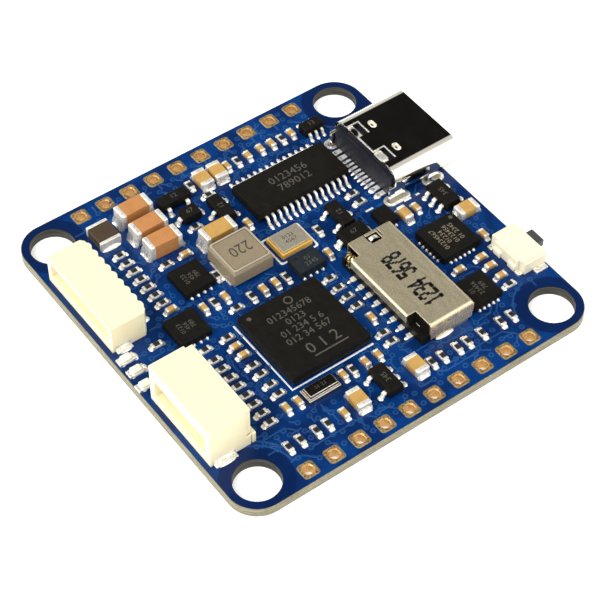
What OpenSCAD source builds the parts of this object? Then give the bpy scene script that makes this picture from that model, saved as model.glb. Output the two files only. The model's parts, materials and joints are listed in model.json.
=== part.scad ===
// Flight controller board: a square laminate with its connectors, card socket, boot switch and chips.
// Origin: centre of the four mounting holes, on the board's bottom face. +Z points out of the top face.

/* [Board] */
// Side of the square board
board_w = 36; // [35.6:0.1:37]
// Thickness of the laminate
board_t = 1.0; // [0.8:0.1:1.6]
// Radius of the board's corners
corner_r = 2.75; // [2.25:0.05:3.0]
// Distance between the mounting holes
hole_pitch = 30.5; // [30.5:0.1:30.8]
// Diameter of the mounting holes
hole_d = 4.0; // [3.0:0.1:4.2]

/* [Solder pads] */
// Pads in each of the two edge rows
pad_count = 10; // [4:1:10]
// Distance from pad to pad
pad_pitch = 2.54; // [2.0:0.02:2.54]
// Distance of each row from the board's middle
pad_row_y = 16.8; // [16.6:0.05:16.9]
// Side of a square pad
pad_w = 1.4; // [1.3:0.05:1.7]
// Diameter of a pad's plated hole
pad_hole_d = 0.9; // [0.7:0.05:1.0]

/* [USB receptacle] */
// Middle of the receptacle along the edge
usb_y = 6.6; // [6.4:0.1:6.8]
// Back of the metal shell
usb_x = 12.1; // [12.0:0.1:12.4]
// Length of the metal shell
usb_len = 6.95; // [6.5:0.05:7.3]
// Width of the metal shell
usb_w = 8.94; // [8.9:0.02:9.0]
// Height of the metal shell
usb_h = 3.2; // [3.16:0.02:3.26]

/* [Side entry connectors] */
// Contacts in the signal connector
signal_count = 8; // [4:1:8]
// Contact pitch of the signal connector
signal_pitch = 1.0; // [1.0:0.05:1.05]
// Height of the signal connector
signal_h = 2.95; // [2.8:0.05:3.1]
// Contacts in the power connector
power_count = 4; // [2:1:4]
// Contact pitch of the power connector
power_pitch = 1.25; // [1.2:0.01:1.27]
// Height of the power connector
power_h = 4.25; // [3.9:0.05:4.4]

/* [Boot switch] */
// How far the plunger travels
switch_travel = 0.25; // [0.15:0.05:0.3]
// Width of the plunger
plunger_w = 1.6; // [1.4:0.1:1.8]

/* [Card socket] */
// Length of the socket along Y
card_len = 11.3; // [11.2:0.05:11.4]
// Height of the socket's metal cover
card_h = 2.2; // [2.1:0.05:2.4]
// Sheet thickness of the cover
card_sheet = 0.15; // [0.12:0.01:0.2]
// Contact springs in the socket
card_springs = 8; // [4:1:8]

/* [Hidden] */
$fn = 48;
top = board_t;
hole_r = hole_d / 2;
hole_at = hole_pitch / 2;
copper_t = 0.035;
pad_corner_r = 0.3;
pad_x0 = -(pad_count - 1) * pad_pitch / 2;

// Shell legs of the receptacle stand in two pairs of slots
usb_slot_y = 4.4;
usb_slot_w = 0.7;
usb_slots = [[12.35, 2.1], [16.4, 1.6]];   // [middle x, length]
usb_sheet = 0.3;
usb_r = 1.28;
usb_leg_z = 0.15;

// Frames of the two side entry connectors: [back x, middle y, depth, width, height]
signal_box = [-13.9, 7.12, 3.58, 9.95, signal_h];
power_box = [-13.45, -7.85, 4.05, 8.5, power_h];

// Card socket and boot switch
card_x = [3.3, 8.9];
card_y = -6.75;
card_notch = [1.0, 1.7, 2.0];              // depth in x, length at the far end, length at the near end
spring_pitch = 1.1;
spring_y0 = card_y - 0.25 - (card_springs - 1) * spring_pitch / 2;
switch_x = [15.2, 17.9];
switch_y = -9.15;
switch_w = 4.4;
switch_h = 1.4;

// Chip resistor and capacitor sizes: [length, width, height, terminal length]
size_s = [1.0, 0.5, 0.35, 0.25];
size_c = [1.0, 0.5, 0.5, 0.25];
size_m = [2.0, 1.25, 0.85, 0.45];
size_n = [1.6, 0.8, 0.8, 0.35];
size_l = [3.2, 1.6, 1.6, 0.5];
film_t = 0.03;

// Resistors, as [x, y, turn]. Columns run down the board and rows run across it
resistors = concat(
    [for (i = [0:6]) [-11.25, 10.7 - 1.1 * i, 0]],
    [[-11.25, -2.2, 0]], [for (i = [0:7]) [-11.25, -3.55 - 1.12 * i, 0]],
    [for (y = [-2.2, -5.85, -6.95, -8.3, -9.45]) [-9.0, y, 0]],
    [for (y = [-2.0, -3.3, -4.5, -5.75, -9.45, -10.55]) [1.75, y, 0]],
    [for (x = [-11.5, -10.3, -8.75, -7.6, 3.05, 4.2, 5.75, 6.85, 8.4, 10.45, 11.65]) [x, -14.25, 90]],
    [for (x = [-1.7, 3.45, 8.35]) [x, 14.1, 90]],
    [[-14.15, 0.65, 0], [-8.6, 7.5, 0], [-6.5, 0.0, 0], [-4.1, 9.7, 0], [-1.0, 12.2, 0]],
    [[-2.65, -11.05, 90], [-7.7, 1.55, 90], [-4.75, 0.3, 90], [-1.1, 0.3, 90], [-5.85, 4.0, 90]],
    [[4.3, 3.05, 90], [9.3, 4.8, 0], [9.3, 3.65, 0], [13.7, -11.5, 0]]);

// Small ceramic capacitors, as [x, y, turn]
small_caps = concat(
    [[-11.1, 3.05, 0], [-9.0, -3.4, 0], [-9.0, -4.5, 0], [2.0, -7.55, 90]],
    [for (x = [-9.35, -8.2, -3.65, -1.35, -0.05]) [x, -11.05, 90]],
    [for (x = [2.3, 4.6, 6.0, 7.2, 9.45]) [x, 14.1, 90]],
    [[-5.9, -14.2, 90], [-6.6, 7.55, 0], [-0.15, 7.3, 90], [-8.75, 1.55, 90], [-6.6, 1.55, 90]],
    [[-3.5, 0.3, 90], [-2.25, 0.3, 90], [3.4, 0.35, 90], [12.85, 0.1, 90], [15.6, -5.8, 90]],
    [[11.25, -7.75, 0], [13.7, -7.75, 0], [13.7, -8.95, 0], [13.7, -10.35, 0]]);

medium_caps = [[-0.45, 13.9, 90], [1.1, 13.9, 90], [-4.25, -13.85, 90], [1.7, -13.85, 90], [16.2, -2.75, 0]];
narrow_cap = [11.45, -0.05, 90];
large_caps = [[-7.7, 13.95, 0], [-7.7, 11.55, 0], [-7.7, 9.4, 0], [-3.25, 7.45, 0]];

// Leaded packages, as [x, y, turn, body length, body width, leads on the left side, on the right side]
transistors = [
    [-3.95, 13.3, -90, 2.9, 1.3, 1, 2],
    [-1.2, 9.9, 0, 2.9, 1.3, 1, 2],
    [6.7, 3.15, 180, 2.9, 1.3, 1, 2],
    [11.25, 13.5, 90, 2.0, 1.25, 3, 3]];
regulators = [
    [-1.3, -13.65, 180, 2.9, 1.5, 3, 2],
    [15.55, -0.25, 180, 2.9, 1.6, 2, 3]];
diodes = [[-3.8, 11.0, 0, 1.8, 1.3], [6.3, 0.6, 0, 2.7, 1.6]];

// Leadless chips, as [x, y, width, depth, height, pads per side along x, pads per side along y, pad pitch]
driver_chips = [
    [-7.9, 4.75, 3.0, 3.0, 0.8, 4, 0, 0.65],
    [-11.25, 0.43, 3.0, 3.0, 0.8, 4, 0, 0.65],
    [9.8, 0.75, 1.6, 2.0, 0.75, 3, 0, 0.5]];
motion_chip = [12.62, -4.5, 4.0, 4.0, 0.9, 6, 6, 0.5];
spare_motion_chip = [10.9, -10.6, 3.0, 3.0, 0.8, 5, 5, 0.5];
pressure_chip = [1.1, 0.4, 2.7, 2.0, 0.9, 4, 0, 0.65];

processor = [-3.6, -5.55, 8.0, 0.9];       // x, y, side, height above the solder balls
ball_r = 0.125;
ball_pitch = 0.8;
ball_rows = 10;

overlay_chip = [5.6, 8.95, 9.7, 4.4, 1.1]; // x, y, length, width, height
overlay_leads = 14;
overlay_pitch = 0.65;

coil = [-3.32, 3.98, 4.1, 1.9];            // power inductor: x, y, side, height
bead = [-11.2, 13.35, 2.05, 2.5, 1.0];     // filter inductor: x, y, width, length, height
crystal = [1.45, 3.4, 3.2, 2.5];           // main crystal: x, y, length, width
clock = [-6.0, -11.1, 3.2, 1.5];           // clock crystal: x, y, length, width
leds = [[-17.0, 0.85, 0], [-17.0, -0.65, 0], [-17.2, -2.3, 0]];

// ---------- shared shapes ----------

// Box between two corners
module span(low, high) translate(low) cube(high - low);

// Box that stands on z, centred on x and y
module block(x, y, z, size) translate([x - size[0] / 2, y - size[1] / 2, z]) cube(size);

// Plate with round corners, centred on the origin
module round_plate(w, l, t, r) {
    translate([-w / 2, r - l / 2, 0]) cube([w, l - 2 * r, t]);
    translate([r - w / 2, -l / 2, 0]) cube([w - 2 * r, l, t]);
    for (x = [r - w / 2, w / 2 - r], y = [r - l / 2, l / 2 - r]) translate([x, y, 0]) cylinder(r = r, h = t);
}

// Slot with round ends, long side along X
module slot(l, w, t) {
    translate([-(l - w) / 2, -w / 2, 0]) cube([l - w, w, t]);
    for (s = [-1, 1]) translate([s * (l - w) / 2, 0, 0]) cylinder(d = w, h = t);
}

// Solid drawn in the XZ plane and given a width along Y, centred on y = 0
module side_profile(points, width) rotate([90, 0, 0]) linear_extrude(width, center = true) polygon(points);

// Lead that leaves a body at x = 0 and height rise, steps down and ends in a foot at x = reach
module gull_lead(rise, reach, t, width) {
    knee = reach * 0.22;
    heel = reach * 0.45;
    skew = t * 0.55;
    side_profile([[0, rise], [knee, rise], [heel, 0], [reach, 0], [reach, t],
        [heel + skew, t], [knee + skew, rise + t], [0, rise + t]], width);
}

// Moulded body whose long sides slope away from a band where the leads come out
module moulded_body(length, width, height, standoff, band_z, band_t, draft) {
    x = width / 2;
    rotate([90, 0, 0]) linear_extrude(length, center = true) polygon([
        [-x + draft, standoff], [x - draft, standoff], [x, band_z], [x, band_z + band_t],
        [x - draft, height], [-x + draft, height], [-x, band_z + band_t], [-x, band_z]]);
}

// Places children at each [x, y, turn] on the board's top face
module at_each(places) for (p = places) translate([p[0], p[1], top]) rotate([0, 0, p[2]]) children();

// Middle block and end caps of a chip part of one size
module chip_middle(size) block(0, 0, 0, [size[0] - 2 * size[3], size[1], size[2]]);
module chip_ends(size) for (s = [-1, 1])
    block(s * (size[0] - size[3]) / 2, 0, 0, [size[3], size[1], size[2]]);

// Pads along the edges of a leadless chip
pad_depth = 0.25;
pad_width_ratio = 0.5;
pad_lift = 0.05;
module chip_pads(c) translate([c[0], c[1], top]) {
    for (i = [0:1:c[5] - 1], s = [-1, 1])
        block((i - (c[5] - 1) / 2) * c[7], s * (c[3] / 2 - pad_depth / 2 + 0.02), 0,
            [c[7] * pad_width_ratio, pad_depth, pad_lift]);
    for (i = [0:1:c[6] - 1], s = [-1, 1])
        block(s * (c[2] / 2 - pad_depth / 2 + 0.02), (i - (c[6] - 1) / 2) * c[7], 0,
            [pad_depth, c[7] * pad_width_ratio, pad_lift]);
}
module chip_body(c) block(c[0], c[1], top + pad_lift, [c[2], c[3], c[4] - pad_lift]);

// ---------- board ----------

module pad_places() for (i = [0:pad_count - 1], s = [-1, 1])
    translate([pad_x0 + i * pad_pitch, s * pad_row_y, 0]) children();

module slot_places() for (u = usb_slots, s = [-1, 1])
    translate([u[0], usb_y + s * usb_slot_y, 0]) slot(u[1] + $grow, usb_slot_w + $grow, $tall);

barrel_t = 0.05;
module circuit_board() color("#0a3a86") difference() {
    round_plate(board_w, board_w, board_t, corner_r);
    for (x = [-1, 1], y = [-1, 1]) translate([x * hole_at, y * hole_at, -1])
        cylinder(r = hole_r, h = board_t + 2);
    pad_places() {
        translate([0, 0, -1]) cylinder(d = pad_hole_d + 2 * barrel_t, h = board_t + 2);
        translate([0, 0, -1]) round_plate(pad_w, pad_w, 1 + copper_t, pad_corner_r);
    }
    translate([0, 0, -1]) slot_places($grow = 2 * barrel_t, $tall = board_t + 2);
}

module edge_pads() color("#c9a06a") pad_places() difference() {
    union() {
        round_plate(pad_w, pad_w, copper_t, pad_corner_r);
        cylinder(d = pad_hole_d + 2 * barrel_t, h = top);
        translate([0, 0, top]) round_plate(pad_w, pad_w, copper_t, pad_corner_r);
    }
    translate([0, 0, -1]) cylinder(d = pad_hole_d, h = board_t + 2);
}

module slot_linings() color("#d8d4c8") difference() {
    slot_places($grow = 2 * barrel_t, $tall = board_t);
    translate([0, 0, -1]) slot_places($grow = 0, $tall = board_t + 2);
}

// ---------- USB receptacle ----------

// Round-cornered bar along X with its back at x0, centred on the receptacle's middle
module usb_bar(x0, l, w, h, r) translate([x0, usb_y, top + usb_h / 2]) rotate([0, 90, 0])
    round_plate(h, w, l, r);

// Children on both sides of the receptacle's middle plane, drawn about y = 0
module usb_both() translate([0, usb_y, 0]) for (s = [0, 1]) mirror([0, s, 0]) children();

// Windows in the top run forward from the back edge, with a tab bent down into each
usb_window_x = 13.3;
usb_window_y = [1.1, 2.7];
usb_tab_x = [12.2, 12.75];
usb_tab_drop = [0.5, 0.2];                 // below the shell's top: the tab's lower and upper face
usb_tab_root = 0.1;                        // stretch of the tab inside the shell's sheet
module usb_windows(depth, spare) usb_both()
    span([usb_x - 1, usb_window_y[0] - spare, top + usb_h - depth],
        [usb_window_x, usb_window_y[1] + spare, top + usb_h + 1]);

usb_hole = [14.2, 1.75, 1.0, 0.6];         // latch holes: x, distance from the middle, length, width
usb_leg_gap = 0.25;                        // from a leg to the end of its slot
module usb_shell() color("#c8c6c0") {
    difference() {
        usb_bar(usb_x, usb_len, usb_w, usb_h, usb_r);
        usb_bar(usb_x - 1, usb_len + 2, usb_w - 2 * usb_sheet, usb_h - 2 * usb_sheet, usb_r - usb_sheet);
        usb_both() translate([usb_hole[0], usb_hole[1], top + usb_h - 1]) rotate([0, 0, 90])
            slot(usb_hole[2], usb_hole[3], 2);
        usb_windows(0.7, 0);
    }
    usb_both() span([usb_tab_x[0], usb_window_y[0], top + usb_h - usb_tab_drop[0]],
        [usb_tab_x[1], usb_window_y[1] + usb_tab_root, top + usb_h - usb_tab_drop[1]]);
    // Legs that stand in the slots
    for (u = usb_slots) usb_both()
        span([u[0] - u[1] / 2 + usb_leg_gap, usb_w / 2 - usb_sheet, usb_leg_z],
            [u[0] + u[1] / 2 - usb_leg_gap, usb_w / 2, top + usb_h / 2]);
}

usb_back_x = 11.83;
usb_back_w = 8.1;
usb_back_drop = 0.75;                      // from the shell's top down to the back wall's
usb_block_len = 1.6;
usb_tongue_h = 0.7;
usb_tongue_w = 6.69;
usb_tongue_end = 17.9;
module usb_insulator() color("#1c1e22") difference() {
    union() {
        span([usb_back_x, usb_y - usb_back_w / 2, top],
            [usb_x, usb_y + usb_back_w / 2, top + usb_h - usb_back_drop]);
        usb_bar(usb_x, usb_block_len, usb_w - 2 * usb_sheet, usb_h - 2 * usb_sheet, usb_r - usb_sheet);
        span([usb_x + usb_block_len, usb_y - usb_tongue_w / 2, top + usb_h / 2 - usb_tongue_h / 2],
            [usb_tongue_end, usb_y + usb_tongue_w / 2, top + usb_h / 2 + usb_tongue_h / 2]);
    }
    usb_windows(usb_tab_drop[0] + 0.05, usb_tab_root + 0.05);
    usb_plate_shape();
    usb_contact_shapes();
}

usb_plate_t = 0.15;
usb_plate_x = usb_x + 0.3;
module usb_plate_shape() span(
    [usb_plate_x, usb_y - usb_tongue_w / 2 - 0.01, top + usb_h / 2 - usb_plate_t / 2],
    [usb_tongue_end + 0.01, usb_y + usb_tongue_w / 2 + 0.01, top + usb_h / 2 + usb_plate_t / 2]);
module usb_mid_plate() color("#b8b6b0") usb_plate_shape();

// Contacts rise through the back wall, just behind the shell, and run out along the tongue
usb_contact_y = [0.25, 0.75, 1.25, 1.75, 2.4, 3.2];
usb_contact_t = 0.12;
usb_tail_x = 11.0;
usb_rise_x = usb_back_x + 0.07;
usb_contact_end = 17.2;
function usb_contact_w(y) = y > 2 ? 0.5 : 0.26;
module usb_contact_shapes() usb_both() for (y = usb_contact_y) translate([0, y, 0]) {
    w = usb_contact_w(y);
    z = top + usb_h / 2 + usb_tongue_h / 2 - usb_contact_t;
    span([usb_tail_x, -w / 2, top], [usb_rise_x, w / 2, top + usb_contact_t]);
    span([usb_rise_x, -w / 2, top], [usb_rise_x + usb_contact_t, w / 2, z]);
    span([usb_rise_x, -w / 2, z], [usb_contact_end, w / 2, z + usb_contact_t]);
}
module usb_contacts() color("#d9b45f") usb_contact_shapes();

// ---------- side entry connectors ----------

// Housing open at its front, which faces -X. wall is [side, top, floor, back], cut is the rear corners' cut
module housing_shell(box, wall, cut) difference() {
    x0 = box[0] - box[2];
    y0 = box[1] - box[3] / 2;
    y1 = box[1] + box[3] / 2;
    translate([0, 0, top]) linear_extrude(box[4]) polygon([[x0, y0], [box[0] - cut[0], y0],
        [box[0], y0 + cut[1]], [box[0], y1 - cut[1]], [box[0] - cut[0], y1], [x0, y1]]);
    span([x0 - 1, y0 + wall[0], top + wall[2]], [box[0] - wall[3], y1 - wall[0], top + box[4] - wall[1]]);
}

// Solder tabs set into the lower edge of a housing's two ends
tab_t = 0.2;
tab_foot = 0.45;
tab_foot_t = 0.15;
module side_tabs(box, x0, x1, z) for (s = [-1, 1]) {
    y = box[1] + s * box[3] / 2;
    span([x0, min(y, y - s * tab_t), top], [x1, max(y, y - s * tab_t), top + z]);
    span([x0, min(y, y + s * tab_foot), top], [x1, max(y, y + s * tab_foot), top + tab_foot_t]);
}

signal_lead = [0.95, 0.7, 0.2, 0.3];       // rise, reach, thickness, width
function signal_y(i) = signal_box[1] + (i - (signal_count - 1) / 2) * signal_pitch;
signal_pin = 2.7;                          // length of a pin inside the housing
module signal_contact_pins() for (i = [0:signal_count - 1]) translate([signal_box[0], signal_y(i), top]) {
    span([-signal_pin, -signal_lead[3] / 2, signal_lead[0]],
        [0, signal_lead[3] / 2, signal_lead[0] + signal_lead[2]]);
    gull_lead(signal_lead[0], signal_lead[1], signal_lead[2], signal_lead[3]);
}
// Rounded ribs along the rear wall, one between each pair of leads
signal_rib_r = 0.52;
signal_rib_proud = 0.2;                    // how far a rib stands out of the wall
signal_rib_z = 1.3;
module signal_connector_housing() color("#fdf8d8") difference() {
    union() {
        housing_shell(signal_box, [0.55, 0.4, 1.0, 0.8], [0.3, 0.35]);
        for (i = [0:signal_count]) intersection() {
            translate([signal_box[0] + signal_rib_proud - signal_rib_r, signal_y(i) - signal_pitch / 2,
                top + signal_rib_z]) cylinder(r = signal_rib_r, h = signal_h - signal_rib_z);
            span([signal_box[0] - 0.5, signal_box[1] - signal_box[3] / 2, top],
                [signal_box[0] + 1, signal_box[1] + signal_box[3] / 2, top + signal_h]);
        }
    }
    signal_contact_pins();
    signal_connector_tabs();
}
module signal_connector_contacts() color("#d5d2c6") signal_contact_pins();
module signal_connector_tabs() color("#d5d2c6") side_tabs(signal_box, -17.2, -15.7, 0.6);

power_lead = [1.2, 1.05, 0.25, 0.4];       // rise, reach, thickness, width
function power_y(i) = power_box[1] + (i - (power_count - 1) / 2) * power_pitch;
power_pin = 3.1;
module power_contact_pins() for (i = [0:power_count - 1]) translate([power_box[0], power_y(i), top]) {
    span([-power_pin, -power_lead[3] / 2, power_lead[0]],
        [0, power_lead[3] / 2, power_lead[0] + power_lead[2]]);
    gull_lead(power_lead[0], power_lead[1], power_lead[2], power_lead[3]);
}
power_wall = [0.7, 1.35, 0.95, 1.1];       // walls: ends, top, floor, back
power_rail = [0.7, 1.85, 0.5, 0.35];       // rail across the mouth: middle behind the front, height, depth, thickness
power_slit = [3.35, 0.75, 0.5, 0.3, 0.8];  // front slits: distance from the middle, width, depth, height, below the top
power_block = [3.85, 0.8, 0.35, 1.2];      // rear blocks: distance from the middle, width, depth, height
power_notch = [0.65, 0.25];                // steps at the rear corners: along X, along Y
module power_connector_housing() color("#fdf8d8") {
    x0 = power_box[0] - power_box[2];
    difference() {
        housing_shell(power_box, power_wall, [0.15, 0.2]);
        for (s = [-1, 1]) block(power_box[0], power_box[1] + s * power_box[3] / 2, top + power_block[3],
            [2 * power_notch[0], 2 * power_notch[1], power_h]);
        // Slits in the front, above both ends of the mouth
        for (s = [-1, 1]) block(x0, power_box[1] + s * power_slit[0], top + power_h - power_slit[4] - power_slit[3],
            [2 * power_slit[2], power_slit[1], power_slit[3]]);
        power_contact_pins();
        power_connector_tabs();
    }
    // Rail across the mouth, held by the end walls
    block(x0 + power_rail[0], power_box[1], top + power_rail[1],
        [power_rail[2], power_box[3] - 2 * power_wall[0] + 0.2, power_rail[3]]);
    // Lower blocks at both ends of the rear wall
    for (s = [-1, 1]) block(power_box[0] + power_block[2] / 2, power_box[1] + s * power_block[0], top,
        [power_block[2], power_block[1], power_block[3]]);
}
module power_connector_contacts() color("#d5d2c6") power_contact_pins();
module power_connector_tabs() color("#d5d2c6") side_tabs(power_box, -17.2, -15.1, 0.5);

// ---------- card socket ----------

card_y0 = card_y - card_len / 2;
card_y1 = card_y + card_len / 2;
card_bed = 0.75;
card_roof = card_h - card_sheet;
hinge_x = 4.6;
hinge_z = top + card_bed + 0.12;
spring_tip_x = 7.4;
spring_w = 0.5;
spring_t = 0.1;
spring_rise = 0.42;
function spring_y(i) = spring_y0 + i * spring_pitch;

card_wall_z = 1.3;                         // the left wall ends here, above the contact tails
card_foot = [0.5, 1.7, 0.9];               // cuts beside the feet: depth, length at the left, height
card_slit = [[5.9, 7.25], 0.12, 0.95];     // slits beside the spring tab: x of each, width, length
card_mouth = [0.3, 0.5];                   // mouth: depth of the cut, wall left at its ends
module card_cover() color("#b5ae92") difference() {
    span([card_x[0], card_y0, top], [card_x[1], card_y1, top + card_h]);
    // Inside of the cover, open to the board and to the mouth on the right
    span([card_x[0] + card_sheet, card_y0 + card_sheet, top - 1],
        [card_x[1] + 1, card_y1 - card_sheet, top + card_roof]);
    span([card_x[0] - 1, card_y0 - 1, top - 1], [card_x[0] + card_notch[0], card_y1 + 1, top + card_wall_z]);
    // Notches at the two left corners
    for (y = [[card_y1 - card_notch[1], card_y1 + 1], [card_y0 - 1, card_y0 + card_notch[2]]])
        span([card_x[0] - 1, y[0], top - 1], [card_x[0] + card_notch[0], y[1], top + 3]);
    // End walls stand on feet at their middle
    for (y = [card_y0, card_y1]) {
        span([card_x[0], y - card_foot[0], top - 1],
            [card_x[0] + card_foot[1], y + card_foot[0], top + card_foot[2]]);
        span([card_x[1] - card_foot[0], y - card_foot[0], top - 1],
            [card_x[1] + 1, y + card_foot[0], top + card_foot[2]]);
    }
    for (x = card_slit[0]) span([x, card_y1 - card_slit[2], top + card_roof - 1],
        [x + card_slit[1], card_y1 + 1, top + 3]);
    span([card_x[1] - card_mouth[0], card_y0 + card_mouth[1], top - 1],
        [card_x[1] + 1, card_y1 - card_mouth[1], top + card_roof]);
}

tail_t = 0.13;
tail_post = [hinge_x - 0.37, hinge_x - 0.25];
tray_x = [card_x[0] + 0.3, card_x[1] - 0.6];
tray_side = 0.45;                          // wall beside the card
tray_slot_gap = 0.1;                       // free space on each side of a spring
tray_slot_z = [0.3, 1.6];
detect_seat = [1.45, 0.55, 1.5];           // seat from the far end: start, end, and its depth in x
module card_tray() color("#17181b") difference() {
    span([tray_x[0], card_y0 + card_sheet, top], [tray_x[1], card_y1 - card_sheet, top + card_roof]);
    // Space for the card
    span([hinge_x + 0.25, card_y0 + tray_side, top + card_bed],
        [card_x[1] + 1, card_y1 - tray_side, top + 3]);
    // Room over the hinged ends, slots under the springs, and channels for the tails
    for (i = [0:card_springs - 1]) translate([0, spring_y(i), 0]) {
        span([tail_post[1], -spring_w / 2 - tray_slot_gap, top + tray_slot_z[0]],
            [spring_tip_x + 0.3, spring_w / 2 + tray_slot_gap, top + tray_slot_z[1]]);
        span([card_x[0], -spring_w / 2, top], [tail_post[1], spring_w / 2, top + tail_t]);
        span([tail_post[0], -spring_w / 2, top], [tail_post[1], spring_w / 2, hinge_z + 0.05]);
    }
    // Left corners are cut back under the cover's notches
    span([card_x[0], card_y1 - card_notch[1], top + 0.9], [card_x[0] + 0.95, card_y1 + 1, top + 3]);
    span([card_x[0], card_y0, top + 0.9], [card_x[0] + 0.95, card_y0 + card_notch[2], top + 3]);
    span([card_x[0], card_y1 - detect_seat[0], top + 0.5],
        [card_x[0] + detect_seat[2], card_y1 - detect_seat[1], top + 3]);
}

module card_contact_tails() color("#d5d2c6") for (i = [0:card_springs - 1]) translate([0, spring_y(i), 0]) {
    span([card_x[0] - 0.1, -spring_w / 2, top], [tail_post[1], spring_w / 2, top + tail_t]);
    span([tail_post[0], -spring_w / 2, top + tail_t], [tail_post[1], spring_w / 2, hinge_z + 0.05]);
}

// Springs turn about a line through their left ends as a card presses them down
spring_reach = spring_tip_x - hinge_x;
spring_root_r = 0.09;
module card_contact_springs() color("#d9b45f") for (i = [0:card_springs - 1])
    translate([hinge_x, spring_y(i), hinge_z]) {
        rotate([90, 0, 0]) cylinder(r = spring_root_r, h = spring_w, center = true);
        side_profile([[0.04, -spring_t / 2], [spring_reach - 0.5, spring_rise - spring_t / 2],
            [spring_reach - 0.25, spring_rise + spring_t], [spring_reach, spring_rise - 0.08],
            [spring_reach, spring_rise + 0.02], [spring_reach - 0.25, spring_rise + 2 * spring_t],
            [spring_reach - 0.5, spring_rise + spring_t / 2], [0.04, spring_t / 2]], spring_w);
    }

detect_w = 0.5;
detect_t = 0.1;
detect_arm = [0.12, 0.38, 0.65, 0.9];      // arm: from y, to y, height, length
module card_detect_spring() color("#d9b45f") translate([tray_x[0], card_y1 - 1.25, top + 0.5]) {
    span([0, 0, 0], [1.1, detect_w, detect_t]);
    span([0, detect_arm[0], detect_t], [detect_t, detect_arm[1], detect_arm[2] + detect_t]);
    span([detect_t, detect_arm[0], detect_arm[2]], [detect_arm[3], detect_arm[1], detect_arm[2] + detect_t]);
}

// ---------- boot switch ----------

plunger_z = [top + 0.35, top + 1.1];
plunger_x = [17.05, switch_x[1] + 0.7 + switch_travel];
flange_w = 2.6;
flange_t = 0.3;
pocket_x = [15.75, 17.42];
pocket_w = flange_w + 0.2;
pocket_floor = 0.28;
plunger_gap = 0.05;
rear_step = [0.3, 3.0];                    // narrower rear end: depth and width
lid_t = 0.15;
lid_inset = 0.2;
peg = [0.75, 1.75, 0.35, 0.08];            // pegs: x from the rear, y from the middle, diameter, height
lug = [0.2, 0.5, 0.9, 0.65];               // lugs on the rear: depth, y from the middle, length, height
module boot_switch_housing() color("#fbf5dc") difference() {
    union() {
        span([switch_x[0] + rear_step[0], switch_y - switch_w / 2, top],
            [switch_x[1], switch_y + switch_w / 2, top + switch_h - lid_t]);
        span([switch_x[0], switch_y - rear_step[1] / 2, top],
            [switch_x[0] + rear_step[0], switch_y + rear_step[1] / 2, top + switch_h - lid_t]);
        for (s = [-1, 1]) block(switch_x[0], switch_y + s * (lug[1] + lug[2] / 2), top,
            [2 * lug[0], lug[2], lug[3]]);
    }
    // Pocket for the snap dome and the plunger's flange
    span([pocket_x[0], switch_y - pocket_w / 2, top + pocket_floor],
        [pocket_x[1], switch_y + pocket_w / 2, top + 3]);
    // Window that the plunger passes
    span([pocket_x[1] - 0.1, switch_y - plunger_w / 2 - plunger_gap, top + pocket_floor],
        [switch_x[1] + 1, switch_y + plunger_w / 2 + plunger_gap, top + 3]);
}
module boot_switch_lid() color("#fffbe6") {
    span([switch_x[0] + lid_inset, switch_y - switch_w / 2 + lid_inset, top + switch_h - lid_t],
        [switch_x[1], switch_y + switch_w / 2 - lid_inset, top + switch_h]);
    for (s = [-1, 1]) translate([switch_x[0] + peg[0], switch_y + s * peg[1], top + switch_h])
        cylinder(d = peg[2], h = peg[3]);
}
module boot_switch_plunger() color("#4a4b4e") {
    span([plunger_x[0], switch_y - flange_w / 2, plunger_z[0]],
        [plunger_x[0] + flange_t, switch_y + flange_w / 2, plunger_z[1]]);
    span([plunger_x[0] + flange_t, switch_y - plunger_w / 2, plunger_z[0]],
        [plunger_x[1], switch_y + plunger_w / 2, plunger_z[1]]);
}
dome_r = 1.62;
dome_t = 0.06;
dome_bulge = 0.5;
dome_front = plunger_x[0] - 0.1;
dome_gap = 0.02;
module boot_switch_dome() color("#c9c7c0") translate([dome_front - dome_r, switch_y, plunger_z[0] + dome_gap])
    intersection() {
        difference() {
            cylinder(r = dome_r, h = plunger_z[1] - plunger_z[0] - 2 * dome_gap);
            translate([0, 0, -1]) cylinder(r = dome_r - dome_t, h = 3);
        }
        translate([dome_r - dome_bulge, -2, -1]) cube([2, 4, 3]);
    }
terminal_t = 0.25;
rear_terminal = [0.25, 0.1, 0.7];          // reach behind the body, and its stretch in from the side
front_terminal = [16.4, 17.7, 0.6];        // from x, to x, reach beside the body
module boot_switch_terminals() color("#d5d2c6") for (s = [0, 1])
    translate([0, switch_y, top]) mirror([0, s, 0]) translate([0, switch_w / 2, 0]) {
        span([switch_x[0] - rear_terminal[0], -rear_terminal[2], 0],
            [switch_x[0] + rear_step[0], -rear_terminal[1], terminal_t]);
        span([front_terminal[0], 0, 0], [front_terminal[1], front_terminal[2], terminal_t]);
    }

// ---------- chips ----------

ball_z = top + ball_r * 2;
substrate_t = 0.25;
module processor_package() color("#1c1b18") {
    block(processor[0], processor[1], ball_z, [processor[2], processor[2], substrate_t]);
    block(processor[0], processor[1], ball_z + substrate_t,
        [processor[2] - 0.1, processor[2] - 0.1, processor[3] - substrate_t]);
}
module processor_balls() color("#c9c7c0") for (i = [0:ball_rows - 1], j = [0:ball_rows - 1])
    if (i == 0 || j == 0 || i == ball_rows - 1 || j == ball_rows - 1)
        translate([processor[0] + (i - (ball_rows - 1) / 2) * ball_pitch,
            processor[1] + (j - (ball_rows - 1) / 2) * ball_pitch, top])
            cylinder(r = ball_r * 1.2, h = ball_r * 2, $fn = 24);

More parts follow.
